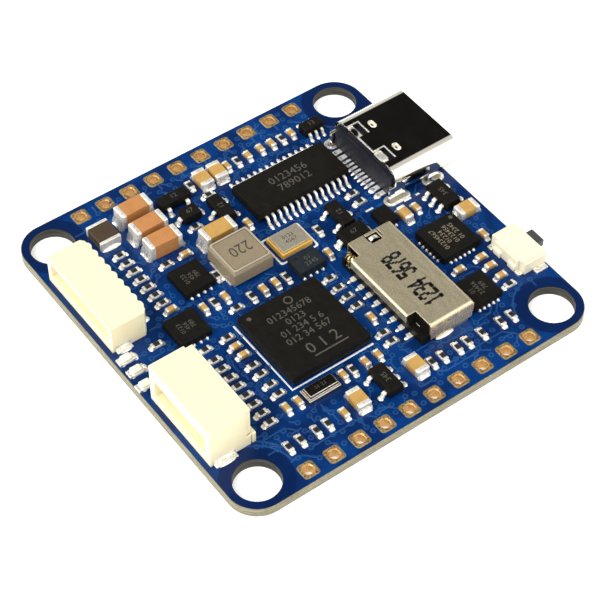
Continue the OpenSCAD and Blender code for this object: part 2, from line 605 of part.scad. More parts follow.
overlay_lead = [0.5, 1.0, 0.15, 0.24];     // rise, reach, thickness, width
overlay_mark = [-1.55, 4.0, 0.8, 0.05];    // round mark beside the first lead: x, y, diameter, depth
module overlay_chip_body() color("#1a1917") translate([overlay_chip[0], overlay_chip[1], top])
    rotate([0, 0, 90]) difference() {
        moulded_body(overlay_chip[2], overlay_chip[3], overlay_chip[4], 0.1, overlay_lead[0],
            overlay_lead[2], 0.12);
        translate([overlay_mark[0], overlay_mark[1], overlay_chip[4] - overlay_mark[3]])
            cylinder(d = overlay_mark[2], h = 1);
    }
module overlay_chip_leads() color("#d5d2c6") translate([overlay_chip[0], overlay_chip[1], top])
    for (i = [0:overlay_leads - 1], s = [-1, 1])
        translate([(i - (overlay_leads - 1) / 2) * overlay_pitch, s * overlay_chip[3] / 2, 0])
            rotate([0, 0, s * 90])
                gull_lead(overlay_lead[0], overlay_lead[1], overlay_lead[2], overlay_lead[3]);

module motion_sensor_body() color("#1c1b18") chip_body(motion_chip);
module motion_sensor_pads() color("#d5d2c6") chip_pads(motion_chip);
module spare_motion_sensor_body() color("#1c1b18") chip_body(spare_motion_chip);
module spare_motion_sensor_pads() color("#d5d2c6") chip_pads(spare_motion_chip);
pressure_port = [-0.7, 0.6, 0.3, 0.15];    // vent hole from the chip's middle: x, y, diameter, depth
module pressure_sensor_body() color("#2a3038") difference() {
    chip_body(pressure_chip);
    translate([pressure_chip[0] + pressure_port[0], pressure_chip[1] + pressure_port[1],
        top + pressure_chip[4] - pressure_port[3]]) cylinder(d = pressure_port[2], h = 1);
}
module pressure_sensor_pads() color("#d5d2c6") chip_pads(pressure_chip);
module driver_chip_bodies() color("#1c1b18") for (c = driver_chips) chip_body(c);
module driver_chip_pads() color("#d5d2c6") for (c = driver_chips) chip_pads(c);

// ---------- leaded packages ----------

small_h = 1.0;
small_rise = 0.4;
small_lead_t = 0.14;
small_standoff = 0.06;
small_draft = 0.08;
small_reach = 0.6;
module small_body(p) translate([p[0], p[1], top]) rotate([0, 0, p[2]])
    moulded_body(p[3], p[4], small_h, small_standoff, small_rise, small_lead_t, small_draft);
module small_leads(p) translate([p[0], p[1], top]) rotate([0, 0, p[2]]) for (side = [0, 1]) {
    count = p[5 + side];
    pitch = count == 3 ? p[3] * 0.328 : p[3] * 0.655;
    width = count == 3 && p[3] < 2.5 ? 0.25 : 0.4;
    for (i = [0:1:count - 1]) translate([(side * 2 - 1) * p[4] / 2, (i - (count - 1) / 2) * pitch, 0])
        rotate([0, 0, 180 * (1 - side)]) gull_lead(small_rise, small_reach, small_lead_t, width);
}
module transistor_bodies() color("#1c1b18") for (p = transistors) small_body(p);
module transistor_leads() color("#e4e1d6") for (p = transistors) small_leads(p);
module regulator_bodies() color("#1c1b18") for (p = regulators) small_body(p);
module regulator_leads() color("#e4e1d6") for (p = regulators) small_leads(p);

module diode_bodies() color("#1c1b18") for (d = diodes) translate([d[0], d[1], top])
    moulded_body(d[4], d[3], small_h, small_standoff, small_rise, small_lead_t, small_draft);
module diode_leads() color("#e4e1d6") for (d = diodes, s = [0, 1]) translate([d[0], d[1], top])
    rotate([0, 0, 180 * s]) translate([d[3] / 2, 0, 0]) gull_lead(small_rise, 0.5, small_lead_t, d[4] * 0.4);

// ---------- inductors and crystals ----------

coil_foot = 0.2;
coil_bevel = [0.35, 0.55];                 // height of the bevelled rim, and how much narrower the top is
coil_terminal = [1.1, 3.2, 0.45];          // width, length, distance from the body's side to the middle
module power_inductor_body() color("#a89b86") translate([coil[0], coil[1], top]) {
    block(0, 0, coil_foot, [coil[2], coil[2], coil[3] - coil_foot - coil_bevel[0]]);
    translate([0, 0, coil[3] - coil_bevel[0]])
        linear_extrude(coil_bevel[0], scale = (coil[2] - coil_bevel[1]) / coil[2])
            square(coil[2], center = true);
}
module power_inductor_terminals() color("#e4e1d6") for (s = [-1, 1])
    block(coil[0] + s * (coil[2] / 2 - coil_terminal[2]), coil[1], top,
        [coil_terminal[0], coil_terminal[1], coil_foot]);

bead_cap = 0.3;
module filter_inductor_body() color("#54402f")
    block(bead[0], bead[1], top, [bead[2], bead[3] - 2 * bead_cap, bead[4]]);
module filter_inductor_terminals() color("#e4e1d6") for (s = [-1, 1])
    block(bead[0], bead[1] + s * (bead[3] - bead_cap) / 2, top, [bead[2], bead_cap, bead[4]]);

crystal_h = [0.6, 0.2];                    // heights of the base and of the lid
crystal_rim = 0.15;
module crystal_base() color("#e8b84a")
    block(crystal[0], crystal[1], top, [crystal[2], crystal[3], crystal_h[0]]);
module crystal_lid() color("#b9b2a2") block(crystal[0], crystal[1], top + crystal_h[0],
    [crystal[2] - 2 * crystal_rim, crystal[3] - 2 * crystal_rim, crystal_h[1]]);
clock_h = [0.45, 0.35];                    // heights of the clock crystal's base and of its lid
clock_rim = 0.2;
module clock_crystal_can() color("#cfcabb") {
    block(clock[0], clock[1], top, [clock[2], clock[3], clock_h[0]]);
    block(clock[0], clock[1], top + clock_h[0],
        [clock[2] - 2 * clock_rim, clock[3] - 2 * clock_rim, clock_h[1]]);
}

// ---------- chip parts ----------

module large_capacitor_bodies() color("#c8874b") at_each(large_caps) chip_middle(size_l);
module large_capacitor_terminals() color("#e4e1d6") at_each(large_caps) chip_ends(size_l);
module medium_capacitor_bodies() color("#c9a25c") {
    at_each(medium_caps) chip_middle(size_m);
    at_each([narrow_cap]) chip_middle(size_n);
}
module medium_capacitor_terminals() color("#e4e1d6") {
    at_each(medium_caps) chip_ends(size_m);
    at_each([narrow_cap]) chip_ends(size_n);
}
module small_capacitor_bodies() color("#b98a4d") at_each(small_caps) chip_middle(size_c);
module small_capacitor_terminals() color("#e4e1d6") at_each(small_caps) chip_ends(size_c);
module resistor_bodies() color("#f0eee8") at_each(resistors) chip_middle(size_s);
module resistor_films() color("#161616") at_each(resistors)
    block(0, 0, size_s[2], [size_s[0] - 2 * size_s[3], size_s[1], film_t]);
module resistor_terminals() color("#e4e1d6") at_each(resistors) chip_ends(size_s);

led_size = [1.6, 0.8, 0.25, 0.3];
led_lens = [0.9, 0.7, 0.3];
module status_led_bodies() color("#f6f4ea") at_each(leds) chip_middle(led_size);
module status_led_lenses() color("#fffbe0") at_each(leds) block(0, 0, led_size[2], led_lens);
module status_led_terminals() color("#e4e1d6") at_each(leds) chip_ends(led_size);

// ---------- drawing ----------

circuit_board();
edge_pads();
slot_linings();
usb_shell();
usb_insulator();
usb_mid_plate();
usb_contacts();
signal_connector_housing();
signal_connector_contacts();
signal_connector_tabs();
power_connector_housing();
power_connector_contacts();
power_connector_tabs();
card_cover();
card_tray();
card_contact_tails();
card_contact_springs();
card_detect_spring();
boot_switch_housing();
boot_switch_lid();
boot_switch_plunger();
boot_switch_dome();
boot_switch_terminals();
processor_package();
processor_balls();
overlay_chip_body();
overlay_chip_leads();
motion_sensor_body();
motion_sensor_pads();
spare_motion_sensor_body();
spare_motion_sensor_pads();
pressure_sensor_body();
pressure_sensor_pads();
driver_chip_bodies();
driver_chip_pads();
transistor_bodies();
transistor_leads();
regulator_bodies();
regulator_leads();
diode_bodies();
diode_leads();
power_inductor_body();
power_inductor_terminals();
filter_inductor_body();
filter_inductor_terminals();
crystal_base();
crystal_lid();
clock_crystal_can();
large_capacitor_bodies();
large_capacitor_terminals();
medium_capacitor_bodies();
medium_capacitor_terminals();
small_capacitor_bodies();
small_capacitor_terminals();
resistor_bodies();
resistor_films();
resistor_terminals();
status_led_bodies();
status_led_lenses();
status_led_terminals();
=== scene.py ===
"""Flight controller board: the visual model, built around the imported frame.

Every length below is in millimetres unless its name says otherwise. Meshes are written in metres.
Each sub-assembly is a class that builds its pieces and dresses them, and each finish is a frozen dataclass.
"""

import json
import logging
import math
from dataclasses import dataclass, field
from enum import Enum
from random import Random
from typing import Callable, Iterable, Sequence

import bmesh
import bpy
from mathutils import Matrix, Vector

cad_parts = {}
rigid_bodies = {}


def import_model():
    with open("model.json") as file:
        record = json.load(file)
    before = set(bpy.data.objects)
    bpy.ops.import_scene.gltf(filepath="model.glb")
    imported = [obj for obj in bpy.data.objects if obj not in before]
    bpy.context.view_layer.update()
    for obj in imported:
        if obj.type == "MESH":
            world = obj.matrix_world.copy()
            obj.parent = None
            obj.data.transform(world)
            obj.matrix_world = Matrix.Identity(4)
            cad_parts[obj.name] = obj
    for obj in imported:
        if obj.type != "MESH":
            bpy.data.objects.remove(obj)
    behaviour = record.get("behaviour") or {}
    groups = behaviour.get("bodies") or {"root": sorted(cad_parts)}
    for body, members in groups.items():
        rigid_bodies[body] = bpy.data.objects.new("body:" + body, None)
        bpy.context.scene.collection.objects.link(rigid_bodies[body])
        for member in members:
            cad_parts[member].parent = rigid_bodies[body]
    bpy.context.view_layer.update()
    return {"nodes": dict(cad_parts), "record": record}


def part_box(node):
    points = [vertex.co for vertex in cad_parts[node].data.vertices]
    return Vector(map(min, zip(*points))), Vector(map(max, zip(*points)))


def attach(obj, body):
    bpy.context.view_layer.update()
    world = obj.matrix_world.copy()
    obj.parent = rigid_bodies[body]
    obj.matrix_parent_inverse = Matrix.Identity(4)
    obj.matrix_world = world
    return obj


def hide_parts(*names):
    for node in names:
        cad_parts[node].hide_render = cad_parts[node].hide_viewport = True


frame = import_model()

LOG = logging.getLogger("flight_controller")
MM = 0.001
# Least angle between two faces whose edge is rounded
SHARP = math.radians(30.0)
BOARD = "board"
PLUNGER = "boot_plunger"
SPRINGS = "card_springs"

Point2 = tuple[float, float]
Point3 = tuple[float, float, float]


# ---------------------------------------------------------------- materials


class Nodes:
    """Any node tree, with a short call that adds a node and wires it."""

    tree: bpy.types.NodeTree

    def wire(self, value: object, socket: bpy.types.NodeSocket) -> None:
        """Link value to an input if it is a socket, or else set it there."""
        if isinstance(value, bpy.types.NodeSocket):
            self.tree.links.new(value, socket)
        else:
            socket.default_value = value

    def add(self, kind: str, inputs: dict, **settings: object) -> bpy.types.Node:
        """Add a node.

        Args:
            kind: The node's type name.
            inputs: Values or sockets by input name or index.
            settings: Properties of the node.

        Returns:
            The new node.
        """
        node = self.tree.nodes.new(kind)
        for key, value in settings.items():
            setattr(node, key, value)
        for key, value in inputs.items():
            self.wire(value, node.inputs[key])
        return node


class Graph(Nodes):
    """Node tree of one material, with short calls for the patterns that the finishes share."""

    def __init__(self, name: str) -> None:
        """Start a material with a Principled shader wired to its output.

        Args:
            name: The material's name.
        """
        self.material = bpy.data.materials.new(name + "_finish")
        self.material.use_nodes = True
        self.tree = self.material.node_tree
        self.tree.nodes.clear()
        output = self.tree.nodes.new("ShaderNodeOutputMaterial")
        self.shader = self.tree.nodes.new("ShaderNodeBsdfPrincipled")
        self.tree.links.new(self.shader.outputs[0], output.inputs[0])
        self.place = self.tree.nodes.new("ShaderNodeTexCoord").outputs["Object"]

    def noise(self, grain: float, detail: float = 2.0, stretch: Point3 = (1, 1, 1)) -> bpy.types.NodeSocket:
        """Noise whose blotches are about grain millimetres wide.

        Args:
            grain: Width of a blotch.
            detail: Octaves of finer noise.
            stretch: Scale along each axis.

        Returns:
            The noise value's socket.
        """
        spread = self.add("ShaderNodeMapping", {"Vector": self.place, "Scale": stretch})
        node = self.add(
            "ShaderNodeTexNoise",
            {"Vector": spread.outputs[0], "Scale": 1 / (grain * MM), "Detail": detail},
        )
        return node.outputs[0]

    def math(self, operation: str, first: object, second: object = 0.0) -> bpy.types.NodeSocket:
        """Result of a Math node on two values or sockets."""
        return self.add("ShaderNodeMath", {0: first, 1: second}, operation=operation).outputs[0]

    def remap(self, value: bpy.types.NodeSocket, low: float, high: float, out_low: float,
              out_high: float) -> bpy.types.NodeSocket:
        """Smoothly map value from low..high to out_low..out_high."""
        node = self.add(
            "ShaderNodeMapRange",
            {"Value": value, "From Min": low, "From Max": high, "To Min": out_low, "To Max": out_high},
            interpolation_type="SMOOTHSTEP",
        )
        return node.outputs[0]

    def blend(self, share: object, first: object, second: object) -> bpy.types.NodeSocket:
        """Colour between first and second by share."""
        node = self.add("ShaderNodeMix", {0: share, 6: first, 7: second}, data_type="RGBA")
        return node.outputs[2]

    def mottle(self, tone: object, other: object, by: bpy.types.NodeSocket, low: float, high: float,
               most: float = 1.0) -> bpy.types.NodeSocket:
        """tone, turned into other by up to most as by goes from low to high."""
        return self.blend(self.remap(by, low, high, 0, most), tone, other)

    def relief(self, height: bpy.types.NodeSocket, depth: float) -> None:
        """Bump the surface by height, depth millimetres deep."""
        node = self.add("ShaderNodeBump", {"Height": height, "Strength": 1.0, "Distance": depth * MM})
        self.tree.links.new(node.outputs[0], self.shader.inputs["Normal"])

    def hole_distance(self, at: float) -> bpy.types.NodeSocket:
        """Distance in XY to the nearest mounting hole, whose centres lie at plus and minus at millimetres."""
        axes = self.add("ShaderNodeSeparateXYZ", {0: self.place}).outputs
        squares = []
        for axis in axes[:2]:
            offset = self.math("SUBTRACT", self.math("ABSOLUTE", axis), at * MM)
            squares.append(self.math("MULTIPLY", offset, offset))
        return self.math("SQRT", self.math("ADD", *squares))

    def shade(self, **values: object) -> None:
        """Set or wire the shader's inputs. Underscores in a name stand for spaces."""
        for key, value in values.items():
            self.wire(value, self.shader.inputs[key.replace("_", " ")])


Colour = tuple[float, float, float, float]


def colour(red: float, green: float, blue: float) -> Colour:
    """Opaque linear colour."""
    return (red, green, blue, 1.0)


def darker(base: Colour, share: float) -> Colour:
    """base with its brightness multiplied by share."""
    return (base[0] * share, base[1] * share, base[2] * share, 1.0)


@dataclass(frozen=True)
class Recipe:
    """How one finish is made: its name, its main colour and what its shader draws."""

    name: str
    base: Colour

    def paint(self, g: Graph) -> None:
        """Draw the finish into g. Each kind of finish has its own."""
        raise NotImplementedError

    def make(self) -> bpy.types.Material:
        """Build the material."""
        g = Graph(self.name)
        self.paint(g)
        return g.material


@dataclass(frozen=True)
class Moulded(Recipe):
    """Moulded plastic or epoxy: fine spark-eroded grain, faint blotches and soft gloss."""

    blotch: float = 0.85
    rough: float = 0.5
    grain: float = 0.05
    depth: float = 0.004
    glow: float = 0.0
    shine: float = 0.5

    def paint(self, g: Graph) -> None:
        """Draw the finish into g."""
        speck = g.noise(self.grain, 1)
        tone = g.mottle(self.base, darker(self.base, self.blotch), g.noise(1.2, 3), 0.35, 0.65)
        tone = g.mottle(tone, darker(self.base, self.blotch * 0.9), speck, 0.3, 0.7, 0.5)
        g.shade(Base_Color=tone, Roughness=g.remap(g.noise(0.4, 2), 0.3, 0.7, self.rough * 0.85, self.rough * 1.15),
                Specular_IOR_Level=self.shine)
        if self.glow:
            g.shade(Subsurface_Weight=self.glow, Subsurface_Scale=0.4 * MM, Subsurface_Radius=(1.0, 0.8, 0.45))
        g.relief(speck, self.depth)


@dataclass(frozen=True)
class Plated(Recipe):
    """Plated or soldered metal: bright, with shallow ripples and duller patches."""

    rough: float = 0.22
    ripple: float = 0.35
    depth: float = 0.02
    dull: float = 0.5
    metal: float = 1.0

    def paint(self, g: Graph) -> None:
        """Draw the finish into g."""
        wave = g.noise(self.ripple, 2)
        tone = g.mottle(self.base, darker(self.base, 0.62), g.noise(self.ripple * 2.2, 3), 0.45, 0.7, self.dull)
        rough = g.remap(g.noise(self.ripple * 0.6, 2), 0.3, 0.7, self.rough * 0.7, self.rough * 1.5)
        g.shade(Base_Color=tone, Metallic=self.metal, Roughness=rough)
        g.relief(wave, self.depth)


@dataclass(frozen=True)
class RolledSheet(Recipe):
    """Rolled metal sheet: faint lines along one axis and a pebbled satin skin."""

    rough: float = 0.35
    pebble: float = 0.05
    depth: float = 0.003
    lines: Point3 = (6.0, 1.0, 6.0)

    def paint(self, g: Graph) -> None:
        """Draw the finish into g."""
        rolled = g.noise(1.5, 3, self.lines)
        pebble = g.noise(self.pebble, 2)
        tone = g.mottle(self.base, darker(self.base, 0.94), rolled, 0.3, 0.7)
        tone = g.mottle(tone, darker(self.base, 0.6), pebble, 0.35, 0.65, 0.7)
        g.shade(Base_Color=tone, Metallic=1.0,
                Roughness=g.remap(rolled, 0.3, 0.7, self.rough * 0.95, self.rough * 1.08))
        g.relief(pebble, self.depth)


@dataclass(frozen=True)
class Fired(Recipe):
    """Fired ceramic or ferrite: grainy body colour with lighter and darker crystals."""

    fleck: Colour
    rough: float = 0.42
    grain: float = 0.06

    def paint(self, g: Graph) -> None:
        """Draw the finish into g."""
        crystal = g.noise(self.grain, 2)
        cloud = g.noise(0.8, 2)
        tone = g.mottle(self.base, self.fleck, crystal, 0.35, 0.7, 0.55)
        tone = g.mottle(tone, darker(self.base, 0.75), cloud, 0.4, 0.7, 0.35)
        g.shade(Base_Color=tone, Roughness=self.rough)
        g.relief(crystal, 0.006)


@dataclass(frozen=True)
class SolderMask(Recipe):
    """Glossy solder mask over copper: deep under bare laminate, lighter over the copper planes."""

    bright: Colour
    hole_at: float = 15.25
    keepout: float = 3.05

    def paint(self, g: Graph) -> None:
        """Draw the finish into g."""
        distance = g.hole_distance(self.hole_at)
        plane = g.remap(distance, self.keepout * MM, (self.keepout + 0.12) * MM, 0.15, 1)
        pour = g.remap(g.noise(3.2, 2), 0.42, 0.58, 0.35, 1)
        weave = g.noise(0.25, 1, (1, 1, 0.2))
        share = g.math("MULTIPLY", plane, pour)
        tone = g.blend(share, self.base, self.bright)
        tone = g.mottle(tone, self.base, weave, 0.3, 0.7, 0.25)
        g.shade(Base_Color=tone, Roughness=0.32, Specular_IOR_Level=0.22)
        g.relief(g.noise(0.5, 3), 0.012)


@dataclass(frozen=True)
class GlassFibre(Recipe):
    """Sawn glass-fibre laminate: resin with pale bundles running along the cut, and painted shade on the mounting
    holes' walls.
    """

    fibre: Colour
    hole_at: float = 15.25

    def paint(self, g: Graph) -> None:
        """Draw the finish into g."""
        layers = g.noise(0.9, 3, (0.35, 0.35, 9.0))
        bundle = g.noise(0.3, 3, (1.0, 1.0, 3.0))
        tone = g.mottle(self.base, self.fibre, layers, 0.35, 0.65)
        tone = g.mottle(tone, darker(self.base, 0.6), bundle, 0.45, 0.7, 0.7)
        # Painted shade: within 2.2 mm of a mounting hole's centre, on the holes' walls, the laminate turns near black
        # for the shade inside the holes.
        hole_shade_share = g.remap(g.hole_distance(self.hole_at), 2.2 * MM, 2.5 * MM, 1, 0)
        hole_wall_shade = g.mottle(darker(self.base, 0.03), darker(self.fibre, 0.16), layers, 0.42, 0.6)
        tone = g.blend(hole_shade_share, tone, hole_wall_shade)
        g.shade(Base_Color=tone, Roughness=0.6)
        g.relief(bundle, 0.02)


@dataclass(frozen=True)
class Paint(Recipe):
    """Printed ink, laser mark or film of one colour, slightly worn."""

    rough: float = 0.5
    wear: float = 0.8

    def paint(self, g: Graph) -> None:
        """Draw the finish into g."""
        tone = g.mottle(self.base, darker(self.base, self.wear), g.noise(0.12, 2), 0.4, 0.7)
        g.shade(Base_Color=tone, Roughness=self.rough)
        g.relief(g.noise(0.06, 2), 0.002)


@dataclass(frozen=True)
class ClearResin(Recipe):
    """Clear or milky resin of a light-emitting diode."""

    def paint(self, g: Graph) -> None:
        """Draw the finish into g."""
        tone = g.mottle(self.base, darker(self.base, 0.9), g.noise(0.3, 2), 0.3, 0.7)
        g.shade(Base_Color=tone, Roughness=0.12, Subsurface_Weight=0.4, Subsurface_Scale=0.3 * MM)
        g.relief(g.noise(0.4, 1), 0.01)


FINISHED: dict[str, bpy.types.Material] = {}


class Finish(Enum):
    """Every finish on the board, each built once when first asked for."""

    MASK = SolderMask("solder_mask", colour(0.0, 0.010, 0.062), colour(0.0, 0.036, 0.185))
    MASK_DEEP = Paint("mask_in_via", colour(0.0, 0.01, 0.05), 0.4)
    TRACE = SolderMask("mask_over_copper", colour(0.002, 0.04, 0.17), colour(0.005, 0.07, 0.255))
    LAMINATE = GlassFibre("laminate", colour(0.185, 0.168, 0.10), colour(0.33, 0.305, 0.21))
    GOLD_PAD = Plated("gold_pad", colour(0.78, 0.52, 0.23), 0.36, 0.2, 0.03, 0.5)
    WALL_METAL = Plated("polished_wall", colour(0.86, 0.70, 0.46), 0.22, 1.1, 0.02, 0.75, 0.72)
    GOLD = Plated("gold_contact", colour(0.90, 0.66, 0.28), 0.2, 0.4, 0.01, 0.2)
    GOLD_RIM = Plated("gold_rim", colour(1.0, 0.62, 0.13), 0.45, 0.4, 0.004, 0.2, 0.55)
    TIN = Plated("tin", colour(0.97, 0.94, 0.87), 0.44, 0.22, 0.03, 0.45, 0.72)
    SOLDER = Plated("solder", colour(0.98, 0.96, 0.90), 0.32, 0.2, 0.03, 0.5, 0.85)
    STEEL = Plated("bright_steel", colour(0.90, 0.87, 0.78), 0.07, 2.5, 0.003, 0.15)
    NICKEL_SHEET = RolledSheet("satin_nickel", colour(0.88, 0.78, 0.55), 0.44, 0.07, 0.006)
    LID_METAL = RolledSheet("lid_metal", colour(0.72, 0.66, 0.53), 0.5, 0.07, 0.004)
    CAN_METAL = RolledSheet("can_metal", colour(0.66, 0.60, 0.50), 0.14, 0.2, 0.001)
    SPRING_STEEL = RolledSheet("spring_steel", colour(0.72, 0.70, 0.64), 0.3)
    IVORY = Moulded("ivory_nylon", colour(0.92, 0.845, 0.585), 0.97, 0.42, 0.08, 0.003, 0.35)
    IVORY_SWITCH = Moulded("ivory_switch", colour(0.90, 0.84, 0.66), 0.95, 0.4, 0.08, 0.003, 0.3)
    INSULATOR = Moulded("black_insulator", colour(0.013, 0.014, 0.022), 0.8, 0.45, 0.09, 0.006, 0, 0.25)
    EPOXY = Moulded("chip_epoxy", colour(0.0075, 0.0068, 0.005), 0.7, 0.5, 0.06, 0.008, 0, 0.14)
    SLATE = Moulded("slate_epoxy", colour(0.014, 0.02, 0.026), 0.75, 0.45, 0.06, 0.006, 0, 0.2)
    PLUNGER_GREY = Moulded("grey_plunger", colour(0.055, 0.056, 0.060), 0.85, 0.5)
    MLCC_ORANGE = Fired("ceramic_orange", colour(0.47, 0.20, 0.062), colour(0.60, 0.29, 0.11))
    MLCC_MUSTARD = Fired("ceramic_mustard", colour(0.50, 0.29, 0.075), colour(0.60, 0.38, 0.12))
    ALUMINA = Fired("ceramic_white", colour(0.85, 0.83, 0.78), colour(0.70, 0.68, 0.62), 0.5, 0.03)
    FERRITE_GREY = Fired("ferrite_grey", colour(0.27, 0.22, 0.145), colour(0.19, 0.15, 0.095), 0.45, 0.09)
    FERRITE_RIM = Fired("ferrite_rim", colour(0.44, 0.38, 0.28), colour(0.33, 0.28, 0.20), 0.4, 0.08)
    FERRITE_BROWN = Fired("ferrite_brown", colour(0.055, 0.034, 0.020), colour(0.085, 0.055, 0.032), 0.4, 0.09)
    GLAZE = Paint("resistor_glaze", colour(0.012, 0.012, 0.012), 0.3, 0.6)
    SILK = Paint("silkscreen", colour(0.86, 0.88, 0.90), 0.55, 0.85)
    LASER = Paint("laser_mark", colour(0.085, 0.076, 0.060), 0.7, 0.5)
    LASER_BRIGHT = Paint("laser_mark_bright", colour(0.24, 0.21, 0.145), 0.7, 0.5)
    INK = Paint("marking_ink", colour(0.012, 0.011, 0.010), 0.6, 0.5)
    DARK_INK = Paint("soft_ink", colour(0.055, 0.048, 0.040), 0.6, 0.6)
    LED_BODY = Moulded("led_white", colour(0.92, 0.91, 0.86), 0.97, 0.4)
    LED_RESIN = ClearResin("led_resin", colour(0.95, 0.93, 0.78))

    def material(self) -> bpy.types.Material:
        """The finish's material, built the first time."""
        if self.name not in FINISHED:
            FINISHED[self.name] = self.value.make()
        return FINISHED[self.name]


# ---------------------------------------------------------------- meshes


@dataclass(frozen=True)
class Span:
    """Box of one solid, in millimetres."""

    low: Vector
    high: Vector

    @property
    def middle(self) -> Vector:
        """Centre of the box."""
        return (self.low + self.high) / 2

    @property
    def size(self) -> Vector:
        """Length of each side."""
        return self.high - self.low

    @property
    def centre(self) -> Point2:
        """Centre of the box in XY."""
        return tuple(self.middle.xy)

    @property
    def foot(self) -> Point3:
        """Middle of the box's lower face."""
        return (*self.centre, self.low.z)

    @property
    def crown(self) -> Point3:
        """Middle of the box's upper face."""
        return (*self.centre, self.high.z)


def node_span(node: str) -> Span:
    """Box of a whole CAD node."""
    low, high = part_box(node)
    return Span(low / MM, high / MM)


def solids(node: str) -> list[Span]:
    """Boxes of the separate solids of a CAD node, in the order of their lowest vertex index.

    Args:
        node: The CAD node's name.

    Returns:
        One box for each solid.
    """
    mesh = bmesh.new()
    mesh.from_mesh(frame["nodes"][node].data)
    bmesh.ops.remove_doubles(mesh, verts=mesh.verts, dist=1e-7)
    seen: set[bmesh.types.BMVert] = set()
    found: list[Span] = []
    for start in mesh.verts:
        if start in seen:
            continue
        island = [start]
        seen.add(start)
        for vertex in island:
            for edge in vertex.link_edges:
                other = edge.other_vert(vertex)
                if other not in seen:
                    seen.add(other)
                    island.append(other)
        points = [v.co / MM for v in island]
        found.append(Span(
            Vector([min(p[i] for p in points) for i in range(3)]),
            Vector([max(p[i] for p in points) for i in range(3)]),
        ))
    mesh.free()
    return found


def new_object(name: str, data: bpy.types.ID) -> bpy.types.Object:
    """Add data to the scene as an object at the origin."""
    made = bpy.data.objects.new(name, data)
    bpy.context.scene.collection.objects.link(made)
    return made


def mesh_object(name: str, mesh: bmesh.types.BMesh) -> bpy.types.Object:
    """Turn a bmesh drawn in millimetres into an object in metres.

    Args:
        name: The object's name.
        mesh: The bmesh, which is freed.

    Returns:
        The object, at the origin.
    """
    bmesh.ops.scale(mesh, vec=(MM, MM, MM), verts=mesh.verts)
    bmesh.ops.recalc_face_normals(mesh, faces=mesh.faces)
    data = bpy.data.meshes.new(name)
    mesh.to_mesh(data)
    mesh.free()
    return new_object(name, data)


def add_box(mesh: bmesh.types.BMesh, low: Sequence[float], high: Sequence[float]) -> None:
    """Add a box between two corners to mesh."""
    made = bmesh.ops.create_cube(mesh, size=1)["verts"]
    low, high = Vector(low), Vector(high)
    bmesh.ops.scale(mesh, vec=high - low, verts=made)
    bmesh.ops.translate(mesh, vec=(low + high) / 2, verts=made)


def skin(mesh: bmesh.types.BMesh, loops: Sequence[Sequence[bmesh.types.BMVert]], caps: bool = True) -> None:
    """Join closed loops of corners, one after another, into a tube.

    Args:
        mesh: Where the faces are added.
        loops: The loops, with the same number of corners each.
        caps: Whether the first and the last loop are closed by a face.
    """
    for one, two in zip(loops, loops[1:]):
        for i, corner in enumerate(one):
            after = (i + 1) % len(one)
            mesh.faces.new((corner, one[after], two[after], two[i]))
    if caps:
        mesh.faces.new(loops[0][::-1])
        mesh.faces.new(loops[-1])


def add_prism(mesh: bmesh.types.BMesh, outline: Sequence[Point2], low: float, high: float) -> None:
    """Add a straight prism to mesh.

    Args:
        mesh: Where it is added.
        outline: Its outline's corners in XY.
        low: Its lower end on Z.
        high: Its upper end on Z.
    """
    skin(mesh, [[mesh.verts.new((x, y, z)) for x, y in outline] for z in (low, high)])


def rounded_outline(size_x: float, size_y: float, radius: float, centre: Point2 = (0, 0),
                    steps: int = 6) -> list[Point2]:
    """Corners of a rectangle with round corners, anticlockwise.

    Args:
        size_x: Full size along X.
        size_y: Full size along Y.
        radius: Radius of the corners.
        centre: The rectangle's middle.
        steps: Points in each corner less one.

    Returns:
        The outline's points.
    """
    points = []
    for turn, (sx, sy) in enumerate(((1, 1), (-1, 1), (-1, -1), (1, -1))):
        middle_x = centre[0] + sx * (size_x / 2 - radius)
        middle_y = centre[1] + sy * (size_y / 2 - radius)
        for i in range(steps + 1):
            angle = (turn + i / steps) * math.pi / 2
            points.append((middle_x + radius * math.cos(angle), middle_y + radius * math.sin(angle)))
    return points


def circle_outline(radius: float, centre: Point2 = (0, 0), steps: int = 32) -> list[Point2]:
    """Points round a circle, anticlockwise."""
    return [
        (centre[0] + radius * math.cos(2 * math.pi * i / steps),
         centre[1] + radius * math.sin(2 * math.pi * i / steps))
        for i in range(steps)
    ]


def sheet_with_holes(name: str, outer: Sequence[Point2], holes: Iterable[Sequence[Point2]], low: float, high: float,
                     edge: float = 0.0) -> bpy.types.Object:
    """Flat sheet with holes and softened edges.

    Args:
        name: The object's name.
        outer: Outline of the sheet.
        holes: Outlines of the holes.
        low: Lower face on Z.
        high: Upper face on Z.
        edge: Radius of the edges.

    Returns:
        The sheet as a mesh object.
    """
    curve = bpy.data.curves.new(name, "CURVE")
    curve.dimensions = "2D"
    curve.fill_mode = "BOTH"
    for outline in [outer, *holes]:
        spline = curve.splines.new("POLY")
        spline.points.add(len(outline) - 1)
        for point, (x, y) in zip(spline.points, outline):
            point.co = (x * MM, y * MM, 0, 1)
        spline.use_cyclic_u = True
    curve.extrude = max((high - low) / 2 - edge, 0) * MM
    curve.bevel_depth = edge * MM
    curve.bevel_resolution = 1
    curve.offset = -edge * MM
    holder = new_object(name + "_curve", curve)
    bpy.context.view_layer.update()
    data = bpy.data.meshes.new_from_object(holder.evaluated_get(bpy.context.evaluated_depsgraph_get()))
    bpy.data.objects.remove(holder)
    data.transform(Matrix.Translation((0, 0, (low + high) / 2 * MM)))
    mesh = bmesh.new()
    mesh.from_mesh(data)
    bmesh.ops.remove_doubles(mesh, verts=mesh.verts, dist=1e-7)
    bmesh.ops.recalc_face_normals(mesh, faces=mesh.faces)
    mesh.to_mesh(data)
    mesh.free()
    data.name = name
    data.materials.clear()
    return new_object(name, data)


